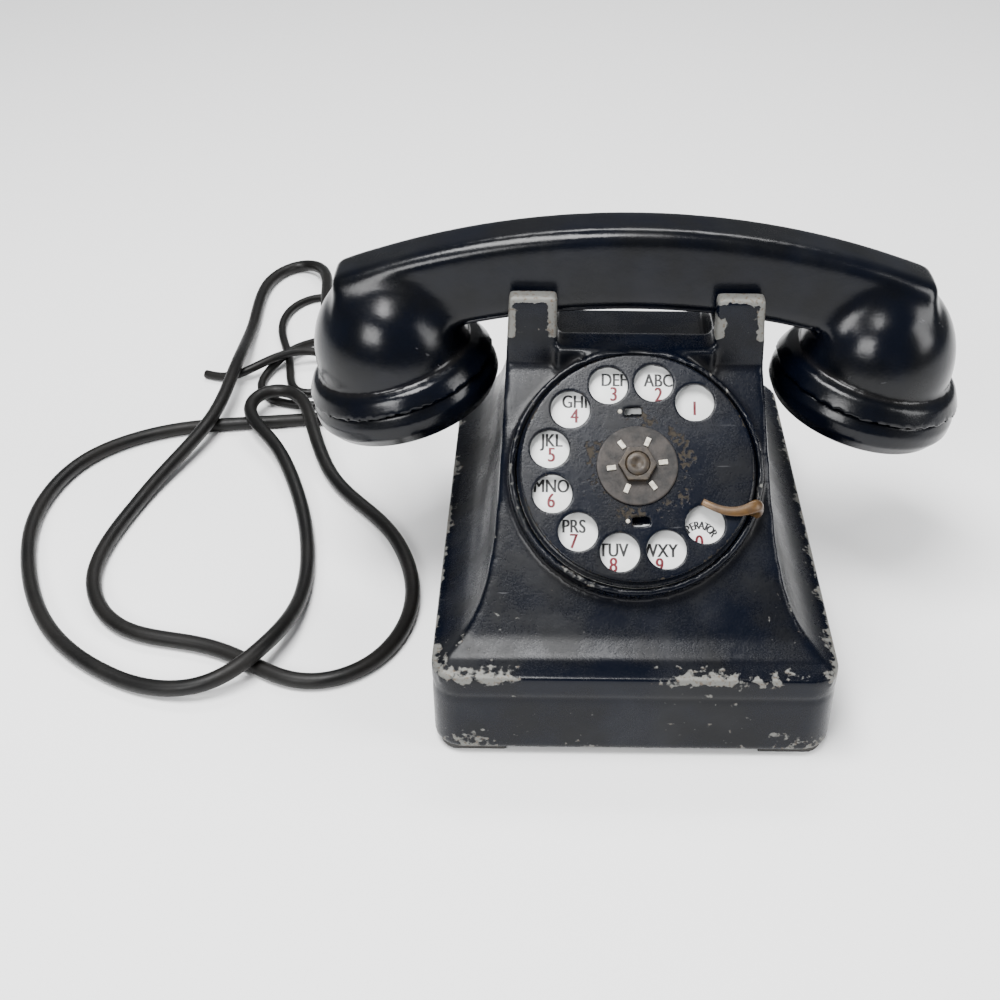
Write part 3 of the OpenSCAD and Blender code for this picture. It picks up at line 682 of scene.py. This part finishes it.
def sweep(
    name: str, path: np.ndarray, radius: Callable[[float], float] | float, sides: int
) -> bpy.types.Object:
    """Round tube along a path, with flat ends.

    Args:
        name: Name of the object.
        path: Centreline, one row a ring.
        radius: Radius, or a function of the share of the way along.
        sides: Points round each ring.

    Returns:
        The tube.
    """
    ahead = np.gradient(path, axis=0)
    ahead /= np.linalg.norm(ahead, axis=1)[:, None]
    across = np.cross(ahead[0], (0, 0, 1))
    if np.linalg.norm(across) < 0.1:
        across = np.cross(ahead[0], (0, 1, 0))
    turn = np.linspace(0, 2 * math.pi, sides, endpoint=False)
    points = []
    for n, (spot, way) in enumerate(zip(path, ahead)):
        across = across - way * across.dot(way)
        across /= np.linalg.norm(across)
        up = np.cross(way, across)
        r = radius(n / (len(path) - 1)) if callable(radius) else radius
        points += [spot + r * (math.cos(t) * across + math.sin(t) * up) for t in turn]
    return new_mesh(name, points, tube_faces(len(path), sides))


def lathe(
    name: str, profile: Sequence[tuple[float, float]], place: Matrix, sides: int
) -> bpy.types.Object:
    """Solid of revolution.

    Args:
        name: Name of the object.
        profile: Radius and height of each ring, in millimetres.
        place: Frame whose +Z is the axis.
        sides: Points round each ring.

    Returns:
        The solid.
    """
    turn = np.linspace(0, 2 * math.pi, sides, endpoint=False)
    points = []
    for r, z in profile:
        points += [place @ Vector((r * MM * math.cos(t), r * MM * math.sin(t), z * MM)) for t in turn]
    return new_mesh(name, points, tube_faces(len(profile), sides))


def join(name: str, pieces: Sequence[bpy.types.Object]) -> bpy.types.Object:
    """Join meshes into one.

    Args:
        name: Name of the result.
        pieces: The meshes.

    Returns:
        The joined object.
    """
    with bpy.context.temp_override(active_object=pieces[0], selected_editable_objects=list(pieces)):
        bpy.ops.object.join()
    pieces[0].name = pieces[0].data.name = name
    return pieces[0]


def wear(piece: bpy.types.Object, finish: Finish) -> None:
    """Give a piece one finish in place of any that it has.

    Args:
        piece: The piece.
        finish: The finish to wear.
    """
    piece.data.materials.clear()
    piece.data.materials.append(WARDROBE.of(finish))


def settle(piece: bpy.types.Object, body: str, slot: Slot, *nodes: str) -> bpy.types.Object:
    """Dress a piece, put it on its body and let it stand for frame nodes.

    Args:
        piece: The piece, in place.
        body: Body that it moves with.
        slot: Its material slot.
        *nodes: Frame nodes that it replaces.

    Returns:
        The piece.
    """
    wear(piece, slot.value)
    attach(piece, body)
    if nodes:
        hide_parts(*nodes)
    LOG.info("%s on %s: %d points", piece.name, body, len(piece.data.vertices))
    return piece


# Shared sizes


@dataclass(frozen=True)
class Layout:
    """Sizes of the telephone that several pieces share, in millimetres and degrees."""

    base_w: float = 132.0
    base_d: float = 184.0
    plinth_h: float = 34.5
    face_tilt: float = 41.0
    face_foot: float = 8.0
    dial_up: float = 62.6
    dial_proud: float = 11.4
    cradle_in: float = 106.0
    ear_h: float = 125.0
    saddle_h: float = 111.0

    @property
    def dial_frame(self) -> Matrix:
        """Frame at the middle of the finger wheel's top, +Z out of the dial, in millimetres."""
        tilt = math.radians(self.face_tilt)
        y = -self.base_d / 2 + self.face_foot
        y += self.dial_up * math.cos(tilt) - self.dial_proud * math.sin(tilt)
        z = self.plinth_h + self.dial_up * math.sin(tilt) + self.dial_proud * math.cos(tilt)
        return shifted(0, y, z) @ Matrix.Rotation(tilt, 4, "X")

    @property
    def cradle_y(self) -> float:
        """Middle of the cradle, front to back."""
        return -self.base_d / 2 + self.cradle_in


LAYOUT = Layout()


# Stage


@dataclass
class Stage:
    """Floor, lights and camera, in metres and degrees."""

    eye: Point = (-0.0272, -0.4064, 0.3345)
    look_down: float = 36.0
    look_right: float = 0.4
    roll: float = 0.9
    lens: float = 48.82
    sensor: float = 36.0
    shift: tuple[float, float] = (-0.0607, -0.003)
    near: float = 0.01
    floor_reach: float = 3.0
    floor_colour: Point = (0.93, 0.93, 0.93)
    floor_rough: float = 0.9
    sky_colour: Point = (0.95, 0.97, 1.0)
    sky_strength: float = 0.28

    def set_camera(self) -> None:
        """Place the camera at the viewing angle and make it the scene's own."""
        down, right, roll = (math.radians(v) for v in (self.look_down, self.look_right, self.roll))
        ahead = Vector((math.sin(right) * math.cos(down), math.cos(right) * math.cos(down), -math.sin(down)))
        level = Vector((math.cos(right), -math.sin(right), 0))
        over = level.cross(ahead)
        side = level * math.cos(roll) + over * math.sin(roll)
        up = over * math.cos(roll) - level * math.sin(roll)
        lens = bpy.data.cameras.new("camera")
        lens.lens = self.lens
        lens.sensor_width = self.sensor
        lens.shift_x, lens.shift_y = self.shift
        lens.clip_start = self.near
        camera = placed("camera", lens)
        camera.matrix_world = Matrix.Translation(self.eye) @ Matrix((side, up, -ahead)).transposed().to_4x4()
        bpy.context.scene.camera = camera

    def lay_floor(self) -> None:
        """Lay a plain pale floor."""
        reach = self.floor_reach
        corners = [(-reach, -reach, 0), (reach, -reach, 0), (reach, reach, 0), (-reach, reach, 0)]
        floor = new_mesh("floor", corners, [(0, 1, 2, 3)])
        material = bpy.data.materials.new("floor")
        material.use_nodes = True
        surface = material.node_tree.nodes["Principled BSDF"]
        surface.inputs["Base Color"].default_value = rgba(self.floor_colour)
        surface.inputs["Roughness"].default_value = self.floor_rough
        floor.data.materials.append(material)

    def light(self) -> None:
        """Light the set with large soft lamps and a pale surround."""
        for name, spot, aim, width, depth, power in (
            ("key", (-0.22, -0.20, 1.05), (0, 0, 0.08), 0.6, 0.36, 24.0),
            ("front", (-0.55, -0.95, 0.75), (0, 0, 0.08), 0.5, 0.4, 12.0),
            ("right", (0.95, -0.35, 0.6), (0, 0, 0.08), 0.4, 0.6, 8.0),
            ("rim", (0.1, 0.9, 1.3), (0, 0, 0.1), 1.0, 0.3, 14.0),
        ):
            lamp = bpy.data.lights.new(name, "AREA")
            lamp.shape = "RECTANGLE"
            lamp.size, lamp.size_y = width, depth
            lamp.energy = power
            holder = placed(name, lamp)
            way = Vector(aim) - Vector(spot)
            holder.matrix_world = Matrix.Translation(spot) @ way.to_track_quat("-Z", "Y").to_matrix().to_4x4()
        world = bpy.data.worlds.new("surround")
        world.use_nodes = True
        sky = world.node_tree.nodes["Background"]
        sky.inputs["Color"].default_value = rgba(self.sky_colour)
        sky.inputs["Strength"].default_value = self.sky_strength
        bpy.context.scene.world = world


# Cords


def curve_through(route: Sequence[Point], step: float, ease: int) -> np.ndarray:
    """Smooth path through a cord's points.

    Args:
        route: Points in millimetres.
        step: Distance between the path's points, in millimetres.
        ease: How many times the path is relaxed.

    Returns:
        The path, in metres.
    """
    given = np.asarray(route, float)
    knots = np.vstack([2 * given[0] - given[1], given, 2 * given[-1] - given[-2]])
    dense = []
    for n in range(1, len(knots) - 2):
        a, b, c, d = knots[n - 1 : n + 3]
        t = np.cumsum([0.0] + [math.sqrt(np.linalg.norm(q - p)) for p, q in ((a, b), (b, c), (c, d))])
        for s in np.linspace(t[1], t[2], 12, endpoint=False):
            ab = ((t[1] - s) * a + (s - t[0]) * b) / (t[1] - t[0])
            bc = ((t[2] - s) * b + (s - t[1]) * c) / (t[2] - t[1])
            cd = ((t[3] - s) * c + (s - t[2]) * d) / (t[3] - t[2])
            abc = ((t[2] - s) * ab + (s - t[0]) * bc) / (t[2] - t[0])
            bcd = ((t[3] - s) * bc + (s - t[1]) * cd) / (t[3] - t[1])
            dense.append(((t[2] - s) * abc + (s - t[1]) * bcd) / (t[2] - t[1]))
    dense = np.vstack([dense, given[-1]])
    along = np.concatenate([[0], np.cumsum(np.linalg.norm(np.diff(dense, axis=0), axis=1))])
    even = np.linspace(0, along[-1], int(along[-1] / step) + 1)
    path = np.stack([np.interp(even, along, dense[:, n]) for n in range(3)], 1)
    for _ in range(ease):
        path[1:-1] += 0.5 * (path[:-2] + path[2:] - 2 * path[1:-1])
    return path * MM


@dataclass
class Cords:
    """The two free cords, in millimetres."""

    handset_d: float = 5.8
    line_d: float = 4.0
    ease: int = 20
    step: float = 2.0
    sides: int = 16
    handset_route: tuple[Point, ...] = (
        (-48, 104, 12), (-51, 111, 8), (-66, 114, 3), (-160, 104, 3), (-200, 96, 3), (-228, 74, 3),
        (-237, 36, 3), (-226, -8, 3), (-205, -42, 3), (-170, -65, 3), (-145, -67, 6), (-129, -52, 10),
        (-121, -18, 4),
        (-127, 30, 3), (-146, 78, 8), (-161, 98, 9), (-165, 113, 9), (-154, 125, 9), (-141, 117, 9),
        (-136, 102, 9), (-120, 60, 4), (-90, 22, 3), (-79, -20, 3), (-90, -52, 3), (-113, -63, 3),
        (-148, -44, 3), (-185, -35, 3), (-203, -6, 3), (-197, 46, 3), (-178, 98, 9), (-176, 143, 10),
        (-178, 190, 3), (-178, 245, 3), (-164, 262, 3), (-150, 248, 7), (-140, 190, 9), (-108, 118, 16),
        (-91, 69, 82), (-89, 60, 93.5), (-89, 50, 93.5),
    )
    line_route: tuple[Point, ...] = (
        (-20, 104, 12), (-26, 114, 4), (-42, 121, 2), (-80, 122, 2), (-120, 122, 2), (-148, 120, 2),
        (-162, 127, 2), (-166, 140, 2), (-163, 151, 2), (-154, 165, 7), (-143, 177, 3), (-129, 194, 2),
        (-127, 212, 2), (-138, 226, 2), (-154, 226, 2), (-164, 210, 2), (-164, 190, 2), (-156, 166, 2),
        (-152, 146, 2), (-148, 129, 2), (-136, 130, 2), (-127, 145, 2), (-130, 159, 4), (-146, 162, 8),
        (-164, 150, 8), (-180, 141, 2), (-192, 147, 2),
    )

    def build(self) -> None:
        """Make and dress both cords."""
        for name, route, thick, end, lift in (
            ("handset_lead", self.handset_route, self.handset_d, "object", True),
            ("line_lead", self.line_route, self.line_d, "bare", False),
        ):
            path = curve_through(route, self.step, self.ease)
            path[:, 2] = np.maximum(path[:, 2], thick * MM / 2)
            cord = sweep(name, path, thick * MM / 2, self.sides)
            wear(cord, Slot.CORD_RUBBER.value)
            if lift:
                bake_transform(cord)
                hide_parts("handset_cord")
            else:
                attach(cord, "root")
                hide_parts("line_cord")


# Body


@dataclass(frozen=True)
class Rub:
    """How much of the paint is rubbed off each region of the housing."""

    all_over: float = 0.22
    ear_tops: float = 0.40
    band: float = 0.10
    ear_edges: float = 0.26
    ear_fronts: float = 0.06
    ear_sides: float = 0.10
    skirt: float = 0.04
    corners: float = 0.07


@dataclass
class Body:
    """Cast housing and what is fixed to its outside, in millimetres."""

    voxel: float = 0.9
    rounding: int = 5
    rub_reach: float = 2.0
    band_reach: float = 6.0
    band_drop: float = 0.8
    band_full: float = 1.5
    skirt_h: float = 12.0
    corner_reach: float = 22.0
    ear_mid: float = 35.0
    ear_half: float = 9.0
    ear_bare: float = 5.6
    slope_y: float = -66.0
    foot_voxel: float = 0.7
    foot_rounding: int = 4
    rub: Rub = Rub()

    def build_housing(self) -> None:
        """Make the housing, with worn ears and edges."""
        housing = softened("housing_casting", "housing", self.voxel * MM, self.rounding)
        points = coordinates(housing.data) / MM
        edge = stored(housing.data, "edge")
        x, y, z = points.T
        tops = np.clip((z - LAYOUT.ear_h + self.rub_reach) / self.rub_reach, 0, 1)
        band = np.clip(self.band_full - np.abs(z - LAYOUT.plinth_h + self.band_drop) / self.rub_reach, 0, 1)
        wide, deep = np.abs(x) - LAYOUT.base_w / 2, np.abs(y) - LAYOUT.base_d / 2
        outer = np.maximum(wide, deep) > -self.band_reach
        ears = z > LAYOUT.saddle_h
        corners = (z < self.skirt_h) & (wide > -self.corner_reach) & (deep > -self.corner_reach)
        front = ears & (y < LAYOUT.cradle_y) & (np.abs(x) > self.ear_mid - self.ear_half)
        sides = front * (np.abs(np.abs(x) - self.ear_mid) > self.ear_bare)
        skirt = (z < LAYOUT.plinth_h) | (y < self.slope_y)
        rub = self.rub.all_over + self.rub.ear_tops * tops + self.rub.band * band * outer
        rub += self.rub.ear_edges * ears * edge + self.rub.ear_fronts * front + self.rub.ear_sides * sides
        rub += self.rub.skirt * skirt + self.rub.corners * corners
        paint(housing.data, "rub", rub)
        settle(housing, "root", Slot.BODY_PAINT, "housing")

    def build_feet(self) -> None:
        """Make the corner feet."""
        feet = softened("corner_feet", "feet", self.foot_voxel * MM, self.foot_rounding)
        settle(feet, "root", Slot.FOOT_RUBBER, "feet")

    def build(self) -> None:
        """Make the body's outer pieces."""
        self.build_housing()
        self.build_feet()


# Dial


LETTER_BLACK = Finish("letter_black", (0.012, 0.012, 0.014), (0.03, 0.03, 0.03), (0.3, 0.5))
DIGIT_RED = Finish("digit_red", (0.16, 0.004, 0.014), (0.20, 0.010, 0.022), (0.3, 0.5))


@dataclass
class Dial:
    """Finger wheel, hub, stop and number plate, in millimetres in the dial's frame."""

    frame: Matrix = field(default_factory=lambda: LAYOUT.dial_frame)
    plate_top: float = -4.4
    stop_knots: tuple[Point, ...] = (
        (20.9, -12.0, 1.6), (24, -13.6, 1.9), (28, -15.0, 2.1), (32, -15.2, 2.1), (35.5, -14.4, 1.9),
        (38.2, -13.1, 1.3), (38.7, -12.9, -2), (38.7, -12.9, -5.5),
    )
    # Painted shadow ring over the plate's edge, under the finger wheel's rim: inner and outer radius, height
    # and fall.
    rim_in: float = 36.2
    rim_out: float = 39.3
    rim_h: float = 0.14
    rim_fall: float = 0.3
    stop_r: float = 1.15
    stop_swell: float = 0.8
    stop_flare: float = 1.0
    stop_flatten: float = 0.62
    stop_sides: int = 20
    shaft_end: tuple[tuple[float, float], ...] = (
        (4.0, -2), (4.0, 0.7), (3.5, 1.1), (2.1, 1.15), (1.7, 1.0), (1.2, 0.72), (0.5, 0.58), (0.01, 0.55),
    )
    shaft_up: float = 2.6
    rivet_turns: tuple[float, ...] = (94.0, 274.0)
    rivet_r: float = 18.4
    rivet_x: float = -4.3
    rivet_up: float = -0.1
    rivet_size: tuple[float, float] = (0.75, 0.55)
    worn_r: float = 16.0
    worn_reach: float = 7.0
    worn_rim: float = 37.4
    label_across: float = 28.8
    label_up: float = 29.8
    word_r: float = 5.2
    label_drop: float = 1.2
    letter_shift: float = 2.7
    digit_shift: tuple[float, float] = (0.0, -2.2)
    lone_digit_shift: tuple[float, float] = (-1.0, 0.9)
    word: str = "OPERATOR"
    word_shift: float = -1.6
    word_pitch: float = 17.0
    first_label: float = 45.0
    label_step: float = 30.0
    digit_size: float = 6.9
    letter_size: float = 6.3
    word_size: float = 3.8
    narrow: float = 0.79
    bold: float = 0.17
    ink: float = 0.015
    ink_up: float = 0.02
    letters: tuple[str, ...] = ("", "ABC", "DEF", "GHI", "JKL", "MNO", "PRS", "TUV", "WXY", "")

    def spot(self, x: float, y: float, z: float) -> Vector:
        """Point of the dial's frame, in metres."""
        return self.frame @ Vector((x * MM, y * MM, z * MM))

    def write(self, text: str, x: float, y: float, size: float, turn: float = 0.0) -> list[bpy.types.Object]:
        """Raise a word on the number plate.

        Args:
            text: Letters or digits.
            x: Middle of the word, to the right.
            y: Middle of the word, up the dial.
            size: Size of the type.
            turn: Turn of the word, in degrees.

        Returns:
            The word as three meshes side by side, which thickens its strokes.
        """
        curve = bpy.data.curves.new(f"label_{text}", "FONT")
        curve.body = text
        curve.size = size * MM
        curve.align_x = curve.align_y = "CENTER"
        curve.extrude = self.ink * MM
        curve.resolution_u = 4
        mesh = baked(placed(curve.name, curve))
        narrow = Matrix.Diagonal((self.narrow, 1, 1, 1))
        lay = self.frame @ shifted(x, y, self.plate_top + self.ink_up)
        lay = lay @ Matrix.Rotation(math.radians(turn), 4, "Z")
        strokes = []
        for side in (-1, 0, 1):
            stroke = mesh.copy()
            stroke.transform(lay @ shifted(side * self.bold, 0, 0) @ narrow)
            strokes.append(placed(mesh.name, stroke))
        bpy.data.meshes.remove(mesh)
        return strokes

    def build_labels(self) -> None:
        """Letter the number plate, black letters over dark red digits."""
        dark, red = [], []
        for n, letters in enumerate(self.letters):
            angle = math.radians(self.first_label + n * self.label_step)
            x, y = self.label_across * math.cos(angle), self.label_up * math.sin(angle) - self.label_drop
            across, up = self.digit_shift if n else self.lone_digit_shift
            red += self.write(str((n + 1) % 10), x + across, y + up, self.digit_size)
            if letters:
                dark += self.write(letters, x, y + self.letter_shift, self.letter_size)
        for k, letter in enumerate(self.word):
            lean = (len(self.word) - 1) / 2 * self.word_pitch - k * self.word_pitch
            turn = math.radians(90 + lean)
            over = y + self.word_shift + self.word_r * math.sin(turn)
            dark += self.write(letter, x + self.word_r * math.cos(turn), over, self.word_size, lean)
        for name, pieces, finish in (
            ("dial_letters", dark, LETTER_BLACK),
            ("dial_digits", red, DIGIT_RED),
        ):
            piece = join(name, pieces)
            wear(piece, finish)
            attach(piece, "root")
            LOG.info("%s on root", name)

    def build_wheel(self) -> None:
        """Make the finger wheel with its rivets."""
        wheel = softened("finger_wheel_plate", "finger_wheel", 0.36 * MM, 4, self.frame)
        local = coordinates(wheel.data) @ np.array(self.frame.to_3x3())
        middle = np.array(self.frame.translation) @ np.array(self.frame.to_3x3())
        out = np.hypot(*(local - middle)[:, :2].T) / MM
        near = np.clip(1 - np.abs(out - self.worn_r) / self.worn_reach, 0, 1)
        paint(wheel.data, "rub", 0.235 + 0.14 * near + 0.05 * (out > self.worn_rim))
        settle(wheel, "dial_wheel", Slot.WHEEL_PAINT, "finger_wheel")
        rivets = []
        wide, high = self.rivet_size
        dome = [(wide * math.cos(a), high * math.sin(a)) for a in np.linspace(0, 1.5, 6)]
        for n, angle in enumerate(self.rivet_turns):
            turn = math.radians(angle)
            x, y = self.rivet_r * math.cos(turn) + self.rivet_x, self.rivet_r * math.sin(turn)
            rivets.append(lathe(f"rivet_{n}", dome, self.frame @ shifted(x, y, self.rivet_up), 20))
        settle(join("wheel_rivets", rivets), "dial_wheel", Slot.CLIP_TIN)

    def build_hub(self) -> None:
        """Make the hub's disc, clips, nut and the end of the shaft."""
        for name, node, voxel, slot in (
            ("hub_washer", "hub_disc", 0.22, Slot.HUB_BROWN),
            ("hub_prongs", "hub_clips", 0.13, Slot.CLIP_TIN),
            ("hub_hexagon", "hub_nut", 0.18, Slot.HUB_BRASS),
        ):
            settle(softened(name, node, voxel * MM, 3, self.frame), "dial_wheel", slot, node)
        place = self.frame @ shifted(0, 0, self.shaft_up)
        settle(lathe("shaft_end", self.shaft_end, place, 48), "dial_wheel", Slot.HUB_BRASS)

    def stop_radius(self, share: float) -> float:
        """Radius of the finger stop, in metres, at a share of the way to its root."""
        return (self.stop_r + self.stop_swell * share + self.stop_flare * share**3) * MM

    def build_stop(self) -> None:
        """Make the finger stop, a flat brass hook over the wheel."""
        path = curve_through(self.stop_knots, 0.4, 6) / MM
        place = np.array([self.spot(*p) for p in path])
        stop = sweep("finger_hook", place, self.stop_radius, self.stop_sides)
        outward = np.array(self.frame.to_3x3() @ Vector((0, 0, 1)))
        centre = np.repeat(place, self.stop_sides, axis=0)
        offset = coordinates(stop.data) - centre
        flat = offset - self.stop_flatten * (offset @ outward)[:, None] * outward
        stop.data.vertices.foreach_set("co", (centre + flat).ravel())
        settle(stop, "root", Slot.STOP_BRASS, "finger_stop")

    def build_plate(self) -> None:
        """Make the enamelled number plate."""
        plate = softened("number_ring", "number_plate", 0.4 * MM, 3, self.frame)
        settle(plate, "root", Slot.NUMBER_ENAMEL, "number_plate")

    def build_painted_shadow_ring(self) -> None:
        """Make a dark ring of painted shadow on the edge of the number plate, where the finger wheel's rim
        shades it.
        """
        bevel = (self.rim_in + self.rim_fall, self.rim_h)
        profile = [(self.rim_in, 0.0), bevel, (self.rim_out, self.rim_h), (self.rim_out, -self.rim_fall)]
        # Painted shadow: a dark ring in the wheel's paint, laid over the plate's edge under the finger
        # wheel's rim.
        place = self.frame @ shifted(0, 0, self.plate_top)
        settle(lathe("painted_shadow_ring", profile, place, 160), "root", Slot.WHEEL_PAINT)

    def build(self) -> None:
        """Make the dial's visible pieces."""
        self.build_plate()
        self.build_painted_shadow_ring()
        self.build_labels()
        self.build_wheel()
        self.build_hub()
        self.build_stop()


# Handset


@dataclass
class Cup:
    """One end of the handset, in millimetres and degrees."""

    side: int
    tilt: float
    over: float


@dataclass
class Handset:
    """Arched handle with two cups and their caps, in millimetres and degrees."""

    width: float = 27.0
    thick: float = 28.0
    arch_r: float = 280.0
    arch_z: float = -136.4
    cup_x: float = 83.7
    cup_r: float = 27.6
    cup_rise: float = 38.5
    shell: float = 2.6
    lip_r: float = 33.8
    lip_h: float = 5.6
    lip_slope: float = 0.55
    lip_sink: float = 1.0
    straight: float = 7.0
    taper: float = 3.5
    hollow_rise: float = 21.4
    hollow_foot: float = 3.0
    seam_h: float = 86.0
    roll: float = 0.35
    grid: float = 1.0
    grid_reach: tuple[float, float] = (122.0, 34.0)
    grid_span: tuple[float, float] = (78.0, 147.0)
    ease: int = 3
    corner: float = 4.5
    end_soft: float = 3.5
    cup_soft: float = 6.0
    lip_soft: float = 1.6
    bead_r: float = 0.75
    bead_turn: float = 13.5
    bead_in: float = 1.9
    bead_side: float = 1.5
    cups: tuple[Cup, ...] = (Cup(-1, -15.0, 21.5), Cup(1, 12.0, 18.0))

    @property
    def laid(self) -> Matrix:
        """Turn that rolls the handset round its arch, in metres."""
        centre = shifted(0, 0, self.arch_z)
        return centre @ Matrix.Rotation(math.radians(self.roll), 4, "Y") @ centre.inverted()

    def cup_frame(self, cup: Cup) -> Matrix:
        """Frame in the middle of a cup's joint, +Z up into the cup, in metres."""
        spot = shifted(cup.side * self.cup_x, LAYOUT.cradle_y, self.seam_h)
        return self.laid @ spot @ Matrix.Rotation(math.radians(cup.tilt), 4, "Y")

    def in_cup(self, cup: Cup, spots: np.ndarray) -> tuple[np.ndarray, np.ndarray]:
        """Distance from a cup's axis and height over its joint.

        Args:
            cup: The cup.
            spots: Points in millimetres, the handset not rolled.

        Returns:
            The distances and the heights.
        """
        tilt = math.radians(cup.tilt)
        x, z = spots[..., 0] - cup.side * self.cup_x, spots[..., 2] - self.seam_h
        over = x * math.cos(tilt) - z * math.sin(tilt)
        return np.hypot(over, spots[..., 1] - LAYOUT.cradle_y), x * math.sin(tilt) + z * math.cos(tilt)

    def handle_solid(self, spots: np.ndarray) -> np.ndarray:
        """Signed distance to the handset's moulding.

        Args:
            spots: Points in millimetres, the handset not rolled.

        Returns:
            The distances, negative inside.
        """
        x, y, z = spots[..., 0], spots[..., 1] - LAYOUT.cradle_y, spots[..., 2]
        out = np.hypot(x, z - self.arch_z)
        turn = np.arctan2(x, z - self.arch_z)
        u = np.abs(out - (self.arch_r - self.thick / 2)) - self.thick / 2 + self.corner
        rise = np.clip((out - self.arch_r + self.thick) / self.thick, 0, 1)
        v = np.abs(y) - self.width / 2 + self.taper * rise + self.corner
        solid = np.hypot(np.maximum(u, 0), np.maximum(v, 0)) + np.minimum(np.maximum(u, v), 0) - self.corner
        for cup in self.cups:
            limit = math.asin((self.cup_x + cup.over) / self.arch_r)
            solid = soft_max(solid, (cup.side * turn - limit) * self.arch_r, self.end_soft)
        for cup in self.cups:
            ring, up = self.in_cup(cup, spots)
            height = self.cup_rise - self.straight
            dome = self.dome(ring, up - self.straight, self.cup_r, height, self.straight)
            solid = soft_min(solid, dome, self.cup_soft)
        for cup in self.cups:
            ring, up = self.in_cup(cup, spots)
            lip = soft_max(ring - self.lip_r + self.lip_slope * up, up - self.lip_h, self.lip_soft)
            solid = soft_min(solid, np.maximum(lip, -up - self.lip_sink), self.lip_soft)
            hollow = self.dome(ring, up, self.cup_r - self.shell, self.hollow_rise, self.hollow_foot)
            solid = np.maximum(solid, -hollow)
        return solid

    @staticmethod
    def dome(ring: np.ndarray, rise: np.ndarray, radius: float, height: float, foot: float) -> np.ndarray:
        """Signed distance to a dome with a straight foot.

        Args:
            ring: Distance from the dome's axis.
            rise: Height over the middle of the dome.
            radius: The dome's radius.
            height: The dome's height.
            foot: How far the foot goes down.

        Returns:
            The distances, negative inside.
        """
        p, q = ring / radius, np.maximum(rise, 0) / height
        flat, steep = np.hypot(p, q), np.hypot(p / radius, q / height)
        return np.maximum(flat * (flat - 1) / np.maximum(steep, 1e-9), -rise - foot)

    def build_handle(self) -> None:
        """Make the moulding of the handle and both cups."""
        wide, deep = self.grid_reach
        low = np.array((-wide, LAYOUT.cradle_y - deep, self.grid_span[0]))
        high = np.array((wide, LAYOUT.cradle_y + deep, self.grid_span[1]))
        axes = [np.arange(a, b, self.grid) for a, b in zip(low, high)]
        spots = np.stack(np.meshgrid(*axes, indexing="ij"), -1)
        points, quads = surface_net(self.handle_solid(spots), low, self.grid)
        pairs = np.vstack([quads[:, pair] for pair in ((0, 1), (1, 2), (2, 3), (3, 0))])
        pairs = np.unique(np.sort(pairs, 1), axis=0)
        handle = new_mesh("handset_moulding", relaxed(points, pairs, self.ease) * MM, quads)
        handle.data.transform(self.laid)
        paint_relief(handle.data, self.grid * EDGE_REACH * MM)
        settle(handle, "handset", Slot.HANDSET_SHELL, "handle")

    def build_beads(self) -> None:
        """Run the mould's bead along both lower edges of the handle."""
        beads = []
        reach = self.arch_r - self.thick + self.bead_in
        turns = np.radians(np.linspace(-self.bead_turn, self.bead_turn, 90))
        for side in (-1, 1):
            across = np.full(len(turns), LAYOUT.cradle_y + side * (self.width / 2 - self.bead_side))
            path = np.stack([reach * np.sin(turns), across, self.arch_z + reach * np.cos(turns)], 1)
            beads.append(sweep(f"bead_{side}", path * MM, self.bead_r * MM, 8))
        piece = join("handle_beads", beads)
        piece.data.transform(self.laid)
        settle(piece, "handset", Slot.HANDSET_SHELL)

    def build_caps(self) -> None:
        """Make the two screwed caps."""
        for cup, node in zip(self.cups, ("transmitter_cap", "receiver_cap")):
            cap = softened(f"{node}_moulding", node, 0.6 * MM, 4, self.cup_frame(cup))
            settle(cap, "handset", Slot.HANDSET_SHELL, node)

    def build(self) -> None:
        """Make the handset's outer pieces."""
        self.build_handle()
        self.build_beads()
        self.build_caps()


# Frame nodes that keep their shape


@dataclass
class Works:
    """Working parts that keep the frame's own shape."""

    def dress(self) -> None:
        """Give every node of the frame its slot's finish."""
        finishes = {slot.slot_name: slot for slot in Slot}
        for part in FRAME["record"]["subparts"]:
            node = FRAME["nodes"][part["node"]]
            finish = finishes[part["material_slot"]].value
            wear(node, finish)
            LOG.info("%s wears %s", part["node"], finish.name)


# The whole telephone


def main() -> None:
    """Build the telephone's looks round its frame."""
    logging.basicConfig(level=logging.INFO, format="%(message)s")
    stage = Stage()
    stage.set_camera()
    Cords().build()
    Works().dress()
    Body().build()
    Dial().build()
    Handset().build()
    stage.lay_floor()
    stage.light()


if __name__ == "__main__":
    main()
